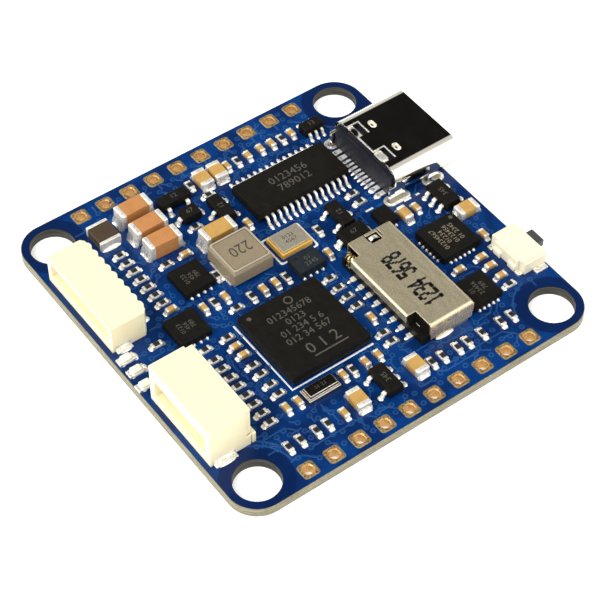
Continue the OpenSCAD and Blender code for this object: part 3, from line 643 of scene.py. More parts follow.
def baked(holder: bpy.types.Object, name: str) -> bpy.types.Object:
    """Plain mesh of holder with its modifiers applied. holder is removed.

    Args:
        holder: The object with modifiers.
        name: The new object's name.

    Returns:
        The new object, at the origin.
    """
    bpy.context.view_layer.update()
    graph = bpy.context.evaluated_depsgraph_get()
    data = bpy.data.meshes.new_from_object(holder.evaluated_get(graph))
    bpy.data.objects.remove(holder)
    data.name = name
    return new_object(name, data)


def soften(piece: bpy.types.Object, radius: float, segments: int = 2) -> bpy.types.Object:
    """Round a piece's sharp edges, and shade it smooth between them.

    Args:
        piece: The mesh object.
        radius: Radius of the rounding.
        segments: Steps of the rounding.

    Returns:
        The same object.
    """
    bevel = piece.modifiers.new("edges", "BEVEL")
    bevel.width = radius * MM
    bevel.segments = segments
    bevel.limit_method = "ANGLE"
    bevel.angle_limit = SHARP
    bevel.use_clamp_overlap = True
    flatten = piece.modifiers.new("normals", "WEIGHTED_NORMAL")
    flatten.weight = 90
    flatten.keep_sharp = True
    piece.data.shade_smooth()
    return piece


def carve(piece: bpy.types.Object, cutter: bpy.types.Object) -> bpy.types.Object:
    """Cut one mesh out of another. Both are replaced by the result.

    Args:
        piece: What is cut.
        cutter: The solid that is taken away.

    Returns:
        The cut piece, with piece's name.
    """
    name = piece.name
    cut = piece.modifiers.new("cut", "BOOLEAN")
    cut.operation = "DIFFERENCE"
    cut.solver = "EXACT"
    cut.object = cutter
    piece.name = name + "_uncut"
    made = baked(piece, name)
    bpy.data.objects.remove(cutter)
    return made


def cad_copy(node: str, name: str) -> bpy.types.Object:
    """Copy of a CAD node's mesh with its triangles merged into flat faces, ready for softening.

    Args:
        node: The CAD node's name.
        name: The new piece's name.

    Returns:
        The copy, which doesn't yet replace the node.
    """
    mesh = bmesh.new()
    mesh.from_mesh(frame["nodes"][node].data)
    bmesh.ops.remove_doubles(mesh, verts=mesh.verts, dist=1e-7)
    bmesh.ops.dissolve_limit(mesh, angle_limit=math.radians(1.0), verts=mesh.verts, edges=mesh.edges)
    data = bpy.data.meshes.new(name)
    mesh.to_mesh(data)
    mesh.free()
    return new_object(name, data)


def dress(piece: bpy.types.Object, finish: Finish, body: str = BOARD, nodes: Sequence[str] = ()) -> bpy.types.Object:
    """Give a piece its finish, its body and what it stands for, and report it.

    Args:
        piece: The mesh object.
        finish: Its finish.
        body: The CAD body that it rides on.
        nodes: CAD nodes that it replaces.

    Returns:
        The same object.
    """
    piece.data.materials.clear()
    piece.data.materials.append(finish.material())
    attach(piece, body)
    if nodes:
        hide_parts(*nodes)
    LOG.info("%s: %s faces on %s", piece.name, len(piece.data.polygons), body)
    return piece


def soft_copy(node: str, name: str, finish: Finish, radius: float, body: str = BOARD,
              segments: int = 2) -> bpy.types.Object:
    """Piece that stands for a CAD node, with the same shape and softened edges.

    Args:
        node: The CAD node's name.
        name: The new piece's name.
        finish: Its finish.
        radius: Radius of its edges.
        body: The CAD body that it rides on.
        segments: Steps of each edge.

    Returns:
        The new piece.
    """
    piece = baked(soften(cad_copy(node, name + "_raw"), radius, segments), name)
    return dress(piece, finish, body, [node])


def soft_copies(slot: str, *rows: tuple[str, str, Finish, float]) -> None:
    """Softened copies of several nodes on the board's body.

    Args:
        slot: Not used.
        rows: Node, new name, finish and radius of the edges of each.
    """
    for node, name, finish, radius in rows:
        soft_copy(node, name, finish, radius)


# ---------------------------------------------------------------- geometry nodes


class NodeTree(Nodes):
    """Geometry Nodes tree built in code, with named inputs that are set by identifier."""

    def __init__(self, name: str, inputs: dict[str, str]) -> None:
        """Start a tree.

        Args:
            name: The tree's name.
            inputs: Socket type by input name.
        """
        self.tree = bpy.data.node_groups.new(name, "GeometryNodeTree")
        self.tree.interface.new_socket("Geometry", in_out="INPUT", socket_type="NodeSocketGeometry")
        self.ids: dict[str, str] = {}
        for label, kind in inputs.items():
            socket = self.tree.interface.new_socket(label, in_out="INPUT", socket_type=kind)
            self.ids[label] = socket.identifier
        self.tree.interface.new_socket("Geometry", in_out="OUTPUT", socket_type="NodeSocketGeometry")
        self.entry = self.tree.nodes.new("NodeGroupInput").outputs
        self.exit = self.tree.nodes.new("NodeGroupOutput").inputs

    def close(self, geometry: bpy.types.NodeSocket) -> None:
        """End the tree in Realize Instances and Set Material."""
        real = self.add("GeometryNodeRealizeInstances", {0: geometry})
        painted = self.add("GeometryNodeSetMaterial", {0: real.outputs[0], "Material": self.entry["Material"]})
        self.tree.links.new(painted.outputs[0], self.exit[0])

    def apply(self, holder: bpy.types.Object, name: str, values: dict[str, object]) -> bpy.types.Object:
        """Run the tree on an object and keep the result as a plain mesh.

        Args:
            holder: The object with the tree's input geometry, which is removed.
            name: The result's name.
            values: Input values by name.

        Returns:
            The result.
        """
        modifier = holder.modifiers.new("nodes", "NODES")
        modifier.node_group = self.tree
        for label, value in values.items():
            modifier[self.ids[label]] = value
        return baked(holder, name)


@dataclass(frozen=True)
class Place:
    """Where a repeated part stands: millimetres and a turn about Z in radians."""

    at: Point3
    turn: float = 0.0


def placing_tree() -> NodeTree:
    """Tree that puts one part at every point, turned by the point's own angle, with a little disorder."""
    tree = NodeTree("placed_parts", {
        "Part": "NodeSocketObject", "Shift": "NodeSocketFloat", "Twist": "NodeSocketFloat",
        "Seed": "NodeSocketInt", "Material": "NodeSocketMaterial",
    })
    source = tree.add("GeometryNodeObjectInfo", {"Object": tree.entry["Part"]})
    turn = tree.add("GeometryNodeInputNamedAttribute", {"Name": "turn"}, data_type="FLOAT")
    negative = tree.add("ShaderNodeMath", {0: tree.entry["Twist"], 1: -1.0}, operation="MULTIPLY")
    twist = tree.add("FunctionNodeRandomValue", {
        2: negative.outputs[0], 3: tree.entry["Twist"], "Seed": tree.entry["Seed"]}, data_type="FLOAT")
    angle = tree.add("ShaderNodeMath", {0: turn.outputs[0], 1: twist.outputs[1]}, operation="ADD")
    euler = tree.add("ShaderNodeCombineXYZ", {"Z": angle.outputs[0]})
    spin = tree.add("FunctionNodeEulerToRotation", {0: euler.outputs[0]})
    low = tree.add("ShaderNodeMath", {0: tree.entry["Shift"], 1: -1.0}, operation="MULTIPLY")
    least = tree.add("ShaderNodeCombineXYZ", {"X": low.outputs[0], "Y": low.outputs[0]})
    most = tree.add("ShaderNodeCombineXYZ", {"X": tree.entry["Shift"], "Y": tree.entry["Shift"]})
    drift = tree.add("FunctionNodeRandomValue", {
        0: least.outputs[0], 1: most.outputs[0], "Seed": tree.entry["Seed"]}, data_type="FLOAT_VECTOR")
    moved = tree.add("GeometryNodeSetPosition", {"Geometry": tree.entry["Geometry"], "Offset": drift.outputs[0]})
    parts = tree.add("GeometryNodeInstanceOnPoints", {
        "Points": moved.outputs[0], "Instance": source.outputs["Geometry"], "Rotation": spin.outputs[0]})
    tree.close(parts.outputs[0])
    return tree


def ribbon_tree() -> NodeTree:
    """Tree that lays a flat ribbon of given width and height along every polyline."""
    tree = NodeTree("ribbons", {
        "Width": "NodeSocketFloat", "Height": "NodeSocketFloat", "Material": "NodeSocketMaterial"})
    line = tree.add("GeometryNodeMeshToCurve", {0: tree.entry["Geometry"]})
    flat = tree.add("GeometryNodeSetCurveNormal", {0: line.outputs[0]}, mode="Z_UP")
    section = tree.add("GeometryNodeCurvePrimitiveQuadrilateral", {
        "Width": tree.entry["Width"], "Height": tree.entry["Height"]})
    solid = tree.add("GeometryNodeCurveToMesh", {
        "Curve": flat.outputs[0], "Profile Curve": section.outputs[0], "Fill Caps": True})
    tree.close(solid.outputs[0])
    return tree


class Repeater:
    """Places copies of a part, and lays ribbons, with two shared node trees."""

    def __init__(self) -> None:
        """Build the trees."""
        self.placing = placing_tree()
        self.ribbons = ribbon_tree()

    def place(self, name: str, part: bpy.types.Object, places: Sequence[Place], finish: Finish,
              shift: float = 0.0, twist: float = 0.0, seed: int = 1, slot: str = "",
              nodes: Sequence[str] = ()) -> bpy.types.Object:
        """One dressed mesh on the board's body with a copy of part at each place. part is removed.

        Args:
            name: The result's name.
            part: The part, drawn about the origin.
            places: Where the copies stand.
            finish: Their finish.
            shift: Greatest random shift in X and Y.
            twist: Greatest random turn, in radians.
            seed: Seed of the disorder.
            slot: Not used.
            nodes: CAD nodes that the result replaces.

        Returns:
            The result.
        """
        data = bpy.data.meshes.new(name + "_points")
        data.from_pydata([[c * MM for c in p.at] for p in places], [], [])
        turns = data.attributes.new("turn", "FLOAT", "POINT")
        turns.data.foreach_set("value", [p.turn for p in places])
        holder = new_object(name + "_points", data)
        made = self.placing.apply(holder, name, {
            "Part": part, "Shift": shift * MM, "Twist": twist, "Seed": seed, "Material": finish.material()})
        bpy.data.objects.remove(part)
        return dress(made, finish, nodes=nodes)

    def ribbon(self, name: str, lines: Sequence[Sequence[Point2]], height_at: float, width: float,
               thickness: float, finish: Finish, slot: str) -> bpy.types.Object:
        """Flat ribbons along polylines, dressed and on the board's body.

        Args:
            name: The result's name.
            lines: The polylines in XY.
            height_at: Middle of the ribbons on Z.
            width: Width of the ribbons.
            thickness: Thickness of the ribbons.
            finish: Their finish.
            slot: Not used.

        Returns:
            The result.
        """
        points: list[Point3] = []
        edges: list[tuple[int, int]] = []
        for i, line in enumerate(lines):
            first = len(points)
            level = height_at + thickness * 0.25 * i / len(lines)
            points += [(x * MM, y * MM, level * MM) for x, y in line]
            edges += [(i, i + 1) for i in range(first, len(points) - 1)]
        data = bpy.data.meshes.new(name + "_lines")
        data.from_pydata(points, edges, [])
        holder = new_object(name + "_lines", data)
        made = self.ribbons.apply(holder, name, {
            "Width": width * MM, "Height": thickness * MM, "Material": finish.material()})
        return dress(made, finish)


def round_edges(piece: bpy.types.Object, wanted: Callable[[Vector, Vector], bool], radius: float,
                segments: int) -> bpy.types.Object:
    """Round chosen edges of a mesh.

    Args:
        piece: The mesh object.
        wanted: Says, from an edge's two ends in millimetres, whether it is rounded.
        radius: Radius of the rounding.
        segments: Steps of the rounding.

    Returns:
        The same object.
    """
    mesh = bmesh.new()
    mesh.from_mesh(piece.data)
    chosen = [e for e in mesh.edges if wanted(e.verts[0].co / MM, e.verts[1].co / MM)]
    bmesh.ops.bevel(mesh, geom=chosen, offset=radius * MM, segments=segments, profile=0.5, affect="EDGES",
                    clamp_overlap=True)
    mesh.to_mesh(piece.data)
    mesh.free()
    return piece


def smooth(piece: bpy.types.Object, angle: float = 35.0) -> bpy.types.Object:
    """Shade a piece smooth, except across edges sharper than angle degrees."""
    piece.data.shade_smooth()
    piece.data.set_sharp_from_angle(angle=math.radians(angle))
    return piece


def band(name: str, span: Span, insets: Point2, radius: float, levels: Point2, edge: float = 0.0) -> bpy.types.Object:
    """Flat band that runs round a part, seen from above.

    Args:
        name: The object's name.
        span: The part's box.
        insets: How far the band's outer and inner sides lie inside the box, or less than 0 for outside.
        radius: Radius of the band's corners.
        levels: Lower and upper face on Z.
        edge: Radius of the band's edges.

    Returns:
        The band.
    """
    outer, inner = (
        rounded_outline(span.size.x - 2 * inset, span.size.y - 2 * inset, radius, span.centre) for inset in insets)
    return smooth(sheet_with_holes(name, outer, [inner], *levels, edge))


# ---------------------------------------------------------------- small repeated shapes


def rounded_block(name: str, size: Sequence[float], radius: float, middle: Point3) -> bpy.types.Object:
    """Block with rounded edges.

    Args:
        name: The object's name.
        size: Length of each side.
        radius: Radius of the edges.
        middle: The block's centre.

    Returns:
        The block, with its edges as a live modifier.
    """
    mesh = bmesh.new()
    half = Vector(size) / 2
    add_box(mesh, Vector(middle) - half, Vector(middle) + half)
    return soften(mesh_object(name, mesh), radius, 1)


def mound(name: str, radius_x: float, radius_y: float, height: float, turns: int = 12) -> bpy.types.Object:
    """Low round mound that stands on z = 0, such as a solder joint.

    Args:
        name: The object's name.
        radius_x: Half its length along X.
        radius_y: Half its length along Y.
        height: Its height.
        turns: Faces in each of its three rings.

    Returns:
        The mound.
    """
    mesh = bmesh.new()
    crown = mesh.verts.new((0, 0, height))
    loops = []
    for share in (1 / 3, 2 / 3, 3 / 3):
        level = height * (1 - share * share) ** 0.75
        angles = [2 * math.pi * i / turns for i in range(turns)]
        loops.append([
            mesh.verts.new((radius_x * share * math.cos(a), radius_y * share * math.sin(a), level)) for a in angles])
    for i, corner in enumerate(loops[0]):
        mesh.faces.new((crown, corner, loops[0][(i + 1) % turns]))
    skin(mesh, loops, caps=False)
    mesh.faces.new(loops[-1][::-1])
    return smooth(mesh_object(name, mesh), 60)


def fillet(name: str, length: float, width: float, height: float, start: float, steps: int = 4) -> bpy.types.Object:
    """Concave solder slopes at both ends of a chip part that lies along X.

    Args:
        name: The object's name.
        length: How far a slope reaches from the part's end.
        width: Its width at the part.
        height: Its height at the part.
        start: Distance of the part's ends from its middle.
        steps: Stations along and across the slope.

    Returns:
        Both slopes as one object.
    """
    mesh = bmesh.new()
    for side in (-1, 1):
        rows = []
        for i in range(steps + 1):
            along = i / steps
            half_width = width / 2 * (1 - 0.35 * along ** 3)
            ridge = height * (1 - along) ** 2 + 0.02
            rows.append([
                mesh.verts.new((side * (start - 0.03 + length * along), half_width * across,
                                ridge * (1 - 0.55 * across ** 4)))
                for across in [2 * j / steps - 1 for j in range(steps + 1)]
            ])
        border = [*rows[0], *[r[-1] for r in rows[1:-1]], *rows[-1][::-1], *[r[0] for r in rows[-2:0:-1]]]
        feet = [mesh.verts.new((v.co.x, v.co.y, 0)) for v in border]
        for i in range(steps):
            for j in range(steps):
                mesh.faces.new((rows[i][j], rows[i + 1][j], rows[i + 1][j + 1], rows[i][j + 1]))
        skin(mesh, [border, feet], caps=False)
        mesh.faces.new(feet)
    return smooth(mesh_object(name, mesh), 60)


def gull_lead(name: str, reach: float, rise: float, thickness: float, width: float) -> bpy.types.Object:
    """Formed lead that leaves a body at x = 0, bends down and ends in a foot at x = reach.

    Args:
        name: The object's name.
        reach: Distance from the body to the toe.
        rise: Height of the lead's underside where it leaves the body.
        thickness: Thickness of the strip.
        width: Width of the strip.

    Returns:
        The lead.
    """
    top_bend = reach * 0.28
    foot = reach * 0.42
    line = [(-0.03, rise), (top_bend * 0.6, rise), (top_bend, rise * 0.9), (foot * 0.95, rise * 0.22),
            (foot + reach * 0.1, 0.0), (reach, 0.0)]
    mesh = bmesh.new()
    rows = []
    for i, (x, z) in enumerate(line):
        before, after = line[max(i - 1, 0)], line[min(i + 1, len(line) - 1)]
        along = Vector((after[0] - before[0], 0, after[1] - before[1])).normalized()
        up = Vector((-along.z, 0, along.x)) * thickness
        base = Vector((x, 0, z))
        spread = width / 2
        rows.append([mesh.verts.new(base + offset) for offset in (
            Vector((0, -spread, 0)), Vector((0, spread, 0)),
            up + Vector((0, spread * 0.86, 0)), up + Vector((0, -spread * 0.86, 0)))])
    skin(mesh, rows)
    return smooth(mesh_object(name, mesh), 50)


def lettering(name: str, lines: Sequence[str], at: Point3, height: float, turn: float = 0.0,
              thickness: float = 0.008, stretch: float = 1.0) -> bpy.types.Object:
    """Flat raised marking made of plain characters.

    Args:
        name: The object's name.
        lines: The lines of characters.
        at: Middle of the marking, on the surface that it lies on.
        height: Height of a character.
        turn: Turn about Z in degrees.
        thickness: How far it stands proud.
        stretch: Width of the characters against their height.

    Returns:
        The marking as a mesh object.
    """
    curve = bpy.data.curves.new(name, "FONT")
    curve.body = "\n".join(lines)
    curve.align_x = "CENTER"
    curve.align_y = "CENTER"
    curve.size = height * 1.4 * MM
    curve.space_line = 0.95
    curve.extrude = thickness / 2 * MM
    curve.resolution_u = 2
    holder = new_object(name + "_letters", curve)
    made = baked(holder, name)
    made.data.transform(
        Matrix.Translation(Vector(at) * MM) @ Matrix.Rotation(math.radians(turn), 4, "Z")
        @ Matrix.Diagonal((stretch, 1, 1, 1)))
    return made


def turn_from(body: Vector, end: Vector) -> float:
    """Turn about Z that points along the main axis from body to end, in radians."""
    step = end - body
    if abs(step.x) > abs(step.y):
        return 0.0 if step.x > 0 else math.pi
    return math.pi / 2 if step.y > 0 else -math.pi / 2


def heading_of(turn: float) -> Vector:
    """Level direction at a turn about Z, in radians."""
    return Vector((math.cos(turn), math.sin(turn), 0))


def nearest(point: Vector, spans: Sequence[Span]) -> Span:
    """The span whose middle is nearest to point in XY."""
    return min(spans, key=lambda span: (span.middle.xy - point.xy).length)


# ---------------------------------------------------------------- board


@dataclass
class BoardSheet:
    """Laminate with its solder mask, copper relief, vias, printed lines, edge pads and slot linings."""

    repeater: Repeater
    mask: float = 0.03
    setback: float = 0.045
    corner: float = 2.75
    relief: float = 0.016
    trace: float = 0.17
    clearance: float = 0.07
    via_radius: float = 0.27
    via_gap: float = 0.62
    seed: int = 11
    span: Span = field(init=False)
    hole: Span = field(init=False)

    # Conductors that show between the parts, as corners in XY
    ROUTES = (
        ((4.2, -15.0), (9.9, -15.0), (10.8, -15.9)),
        ((2.9, -14.9), (3.5, -15.5), (7.2, -15.5), (8.0, -16.0)),
        ((-9.9, -13.3), (-9.9, -14.7), (-9.4, -15.2), (-4.6, -15.2), (-3.9, -15.9)),
        ((-12.6, -12.4), (-10.6, -12.4), (-9.9, -13.1)),
        ((-13.0, -11.9), (-12.3, -11.9)),
        ((-11.9, -15.3), (-11.1, -15.3), (-10.2, -16.1)),
        ((-6.8, -12.2), (-6.8, -12.9), (-6.2, -13.4)),
        ((2.9, -12.4), (4.6, -12.4), (5.4, -13.2), (7.6, -13.2)),
        ((8.9, -12.9), (10.4, -12.9), (11.4, -12.0), (12.3, -12.0)),
        ((-8.3, 3.0), (-8.3, 2.4)),
        ((-0.6, 6.1), (0.6, 6.1), (1.2, 5.5), (3.3, 5.5), (4.0, 4.8)),
        ((4.9, 5.4), (8.2, 5.4), (8.9, 6.0)),
        ((10.2, 2.5), (11.2, 2.5), (11.9, 3.1)),
        ((-5.1, -0.9), (0.4, -0.9), (1.0, -1.4)),
        ((2.9, -2.4), (2.9, -8.7), (2.4, -9.2)),
        ((13.9, -2.9), (14.8, -2.0), (14.8, 0.9)),
        ((10.0, 11.9), (10.0, 12.4), (10.5, 12.9)),
        ((-8.0, 15.6), (-5.6, 15.6), (-5.0, 16.1)),
        ((1.2, 15.5), (1.2, 16.0)), ((3.8, 15.3), (3.8, 16.0)), ((6.3, 15.3), (6.3, 16.0)),
        ((8.9, 15.3), (8.9, 16.0)), ((-1.3, 15.3), (-1.3, 16.0)), ((-3.8, 15.3), (-3.8, 16.0)),
    )
    # Printed corner line round the processor, and short strokes beside the small packages
    PRINTED = (
        ((-7.78, -1.35), (-7.78, -9.7), (0.5, -9.7)),
        ((12.6, 1.5), (13.4, 1.5)), ((13.9, 1.5), (14.3, 1.5)), ((9.1, 2.5), (9.9, 2.5)),
        ((14.9, -1.9), (14.9, -2.3)),
    )

    def __post_init__(self) -> None:
        """Read the board's and the mounting holes' sizes from the frame."""
        self.span = node_span("circuit_board")
        mount = next(m for m in frame["record"]["mounts"] if m["name"] == "stack_holes")
        dims = mount["dims"]
        reach = Vector((dims["spacing_x_mm"] / 2, dims["spacing_y_mm"] / 2, 0))
        radius = Vector((dims["hole_r_mm"], dims["hole_r_mm"], 0))
        self.hole = Span(reach - radius, reach + radius)

    @property
    def top(self) -> float:
        """Height of the board's upper face."""
        return self.span.high.z

    def hole_outlines(self, spare: float) -> list[list[Point2]]:
        """Outlines of the mounting holes, wider by spare all round."""
        radius = self.hole.size.x / 2 + spare
        at = self.hole.middle
        return [circle_outline(radius, (sx * at.x, sy * at.y), 72) for sx in (-1, 1) for sy in (-1, 1)]

    def slot_outlines(self, spare: float) -> list[list[Point2]]:
        """Outlines of the receptacle's slots, wider by spare all round."""
        return [
            rounded_outline(s.size.x + 2 * spare, s.size.y + 2 * spare, s.size.y / 2 + spare,
                            s.centre, 10)
            for s in solids("slot_linings")
        ]

    def laminate(self) -> None:
        """Build the laminate and the solder mask on both of its faces."""
        pads = solids("edge_pads")
        size = self.span.size
        low, high = self.span.low.z, self.top
        barrels = [circle_outline(0.5, p.centre, 24) for p in pads]
        core = sheet_with_holes(
            "laminate_core", rounded_outline(size.x, size.y, self.corner, (0, 0), 16),
            [*self.hole_outlines(0), *self.slot_outlines(0), *barrels], low + self.mask, high - self.mask)
        dress(smooth(core), Finish.LAMINATE, nodes=["circuit_board"])
        windows = [
            rounded_outline(p.size.x + 2 * self.clearance, p.size.y + 2 * self.clearance, 0.34,
                            p.centre)
            for p in pads
        ]
        outer = rounded_outline(size.x - 2 * self.setback, size.y - 2 * self.setback,
                                self.corner - self.setback, (0, 0), 16)
        for name, z0, z1 in (("mask_top", high - self.mask, high), ("mask_bottom", low, low + self.mask)):
            film = sheet_with_holes(name, outer, [*self.hole_outlines(self.setback), *windows,
                                                    *self.slot_outlines(0.28)], z0, z1)
            dress(smooth(film), Finish.MASK, nodes=["circuit_board"])

    def pads(self) -> None:
        """Build the plated edge pads, with their dished collars and solder rims."""
        spans = solids("edge_pads")
        first = spans[0]
        side, height = first.size.x, first.size.z
        plate = 0.035
        hole = 0.45
        mesh = bmesh.new()
        rings = [
            (rounded_outline(side, side, 0.3, steps=5), height - plate),
            (rounded_outline(side - 0.04, side - 0.04, 0.28, steps=5), height),
            (rounded_outline(side - 0.36, side - 0.36, 0.4, steps=5), height - 0.004),
            (circle_outline(hole + 0.12, steps=24), height - 0.012),
            (circle_outline(hole, steps=24), height - 0.07),
            (circle_outline(hole, steps=24), 0.07),
            (circle_outline(hole + 0.12, steps=24), 0.0),
            (rounded_outline(side - 0.04, side - 0.04, 0.28, steps=5), 0.0),
            (rounded_outline(side, side, 0.3, steps=5), plate),
            (circle_outline(hole + 0.05, steps=24), plate),
            (circle_outline(hole + 0.05, steps=24), height - plate),
        ]
        loops = [[mesh.verts.new((x, y, z)) for x, y in outline] for outline, z in rings]
        skin(mesh, [*loops, loops[0]], caps=False)
        pad = smooth(mesh_object("pad_shape", mesh), 50)
        places = [Place(s.foot) for s in spans]
        self.repeater.place("edge_pads_plated", pad, places, Finish.GOLD_PAD, nodes=["edge_pads"], slot="gold_pad")

    def slots(self) -> None:
        """Build the slots' linings and the tinned rings round them."""
        soft_copy("slot_linings", "slot_barrels", Finish.TIN, 0.01)
        for i, (outer, inner) in enumerate(zip(self.slot_outlines(0.24), self.slot_outlines(-0.06))):
            ring = sheet_with_holes(f"slot_ring_{i}", outer, [inner], self.top - 0.01, self.top + 0.05, 0.012)
            dress(smooth(ring), Finish.SOLDER)

    def spots(self, count: int, taken: Sequence[Span]) -> list[Point2]:
        """Random free places for vias, clear of the parts, the holes and each other.

        Args:
            count: How many places are tried for.
            taken: Boxes of the parts.

        Returns:
            The places.
        """
        draw = Random(self.seed)
        reach = self.span.high.x - 1.0
        margin = self.via_radius + 0.12
        found: list[Point2] = []
        for _ in range(count):
            x, y = draw.uniform(-reach, reach), draw.uniform(-reach, reach)
            x, y = round(x / 0.2) * 0.2, round(y / 0.2) * 0.2
            near_hole = math.hypot(abs(x) - self.hole.middle.x, abs(y) - self.hole.middle.y) < 3.2
            near_part = any(
                s.low.x - margin < x < s.high.x + margin and s.low.y - margin < y < s.high.y + margin
                for s in taken)
            near_via = any(math.hypot(x - a, y - b) < self.via_gap for a, b in found)
            if not (near_hole or near_part or near_via):
                found.append((x, y))
        return found

    def copper(self) -> None:
        """Build the conductors and the vias that show as relief under the mask."""
        parts = [
            s for node in frame["nodes"] if node not in ("circuit_board", "card_cover", "usb_shell")
            for s in solids(node) if s.low.z < self.top + 0.4 and s.high.z > self.top + 0.01
        ]
        parts += [node_span(n) for n in ("card_cover", "usb_shell")]
        spots = self.spots(5200, parts)
        rim, pit = self.via_radius, 0.11
        mesh = bmesh.new()
        loops = [
            [mesh.verts.new((x, y, z)) for x, y in circle_outline(r, steps=12)]
            for r, z in ((rim, -0.01), (rim - 0.03, self.relief), (pit + 0.05, self.relief), (pit, 0.002))
        ]
        skin(mesh, loops)
        ring = smooth(mesh_object("via_shape", mesh), 60)
        places = [Place((x, y, self.top)) for x, y in spots]
        self.repeater.place("via_rings", ring, places, Finish.TRACE, slot="laminate")
        mesh = bmesh.new()
        add_prism(mesh, circle_outline(pit, steps=8), 0.0, 0.005)
        self.repeater.place("via_centres", mesh_object("via_pit", mesh), places, Finish.MASK_DEEP, slot="laminate")
        draw = Random(self.seed + 1)
        stubs = []
        for x, y in spots:
            if draw.random() < 0.62:
                heading = draw.choice((0, 1, 2, 3, 4, 5, 6, 7)) * math.pi / 4
                across, along = math.cos(heading), math.sin(heading)
                start, reach = rim * 0.9, draw.uniform(0.6, 1.5)
                end = (x + reach * across, y + reach * along)
                if max(abs(end[0]), abs(end[1])) < self.span.high.x - 0.7:
                    stubs.append(((x + start * across, y + start * along), end))
        self.repeater.ribbon("traces", [*self.ROUTES, *self.arcs(), *stubs], self.top, self.trace,
                                    self.relief, Finish.TRACE, slot="laminate")
        LOG.info("%s vias", len(spots))

    def arcs(self) -> list[list[Point2]]:
        """Conductors that run round the mounting holes."""
        at = self.hole.middle.x
        bends = (((-at, -at), 3.35, 0, 95), ((at, -at), 3.3, 100, 178), ((-at, -at), 3.75, 25, 88),
                 ((at, at), 3.3, 185, 262))
        return [
            [(x + r * math.cos(math.radians(a)), y + r * math.sin(math.radians(a)))
             for a in range(start, end, 6)]
            for (x, y), r, start, end in bends
        ]

    def print_lines(self) -> None:
        """Build the printed lines."""
        self.repeater.ribbon("printed_lines", self.PRINTED, self.top + 0.006, 0.2, 0.02, Finish.SILK,
                             slot="ceramic_white")

    def underside(self) -> None:
        """Build the lands on the unseen lower face: conductors, as on the upper one."""
        draw = Random(self.seed + 2)
        reach = self.span.high.x - 2.4
        lines = []
        for i in range(34):
            x, y = draw.uniform(-reach, reach), draw.uniform(-reach + 3, reach - 3)
            length = draw.uniform(1.5, 6)
            slant = draw.choice((-1, 1)) * draw.uniform(0.5, 1.4)
            lines.append(((x, y), (x, min(y + length, reach - 3)),
                          (max(min(x + slant, reach), -reach), min(y + length + abs(slant), reach - 2))))
        self.repeater.ribbon("lower_traces", lines, self.span.low.z + self.relief / 2, self.trace * 1.3,
                                    self.relief, Finish.TRACE, slot="laminate")

    def build(self) -> None:
        """Build everything that belongs to the bare board."""
        self.laminate()
        self.pads()
        self.slots()
        self.copper()
        self.print_lines()
        self.underside()


# ---------------------------------------------------------------- connectors


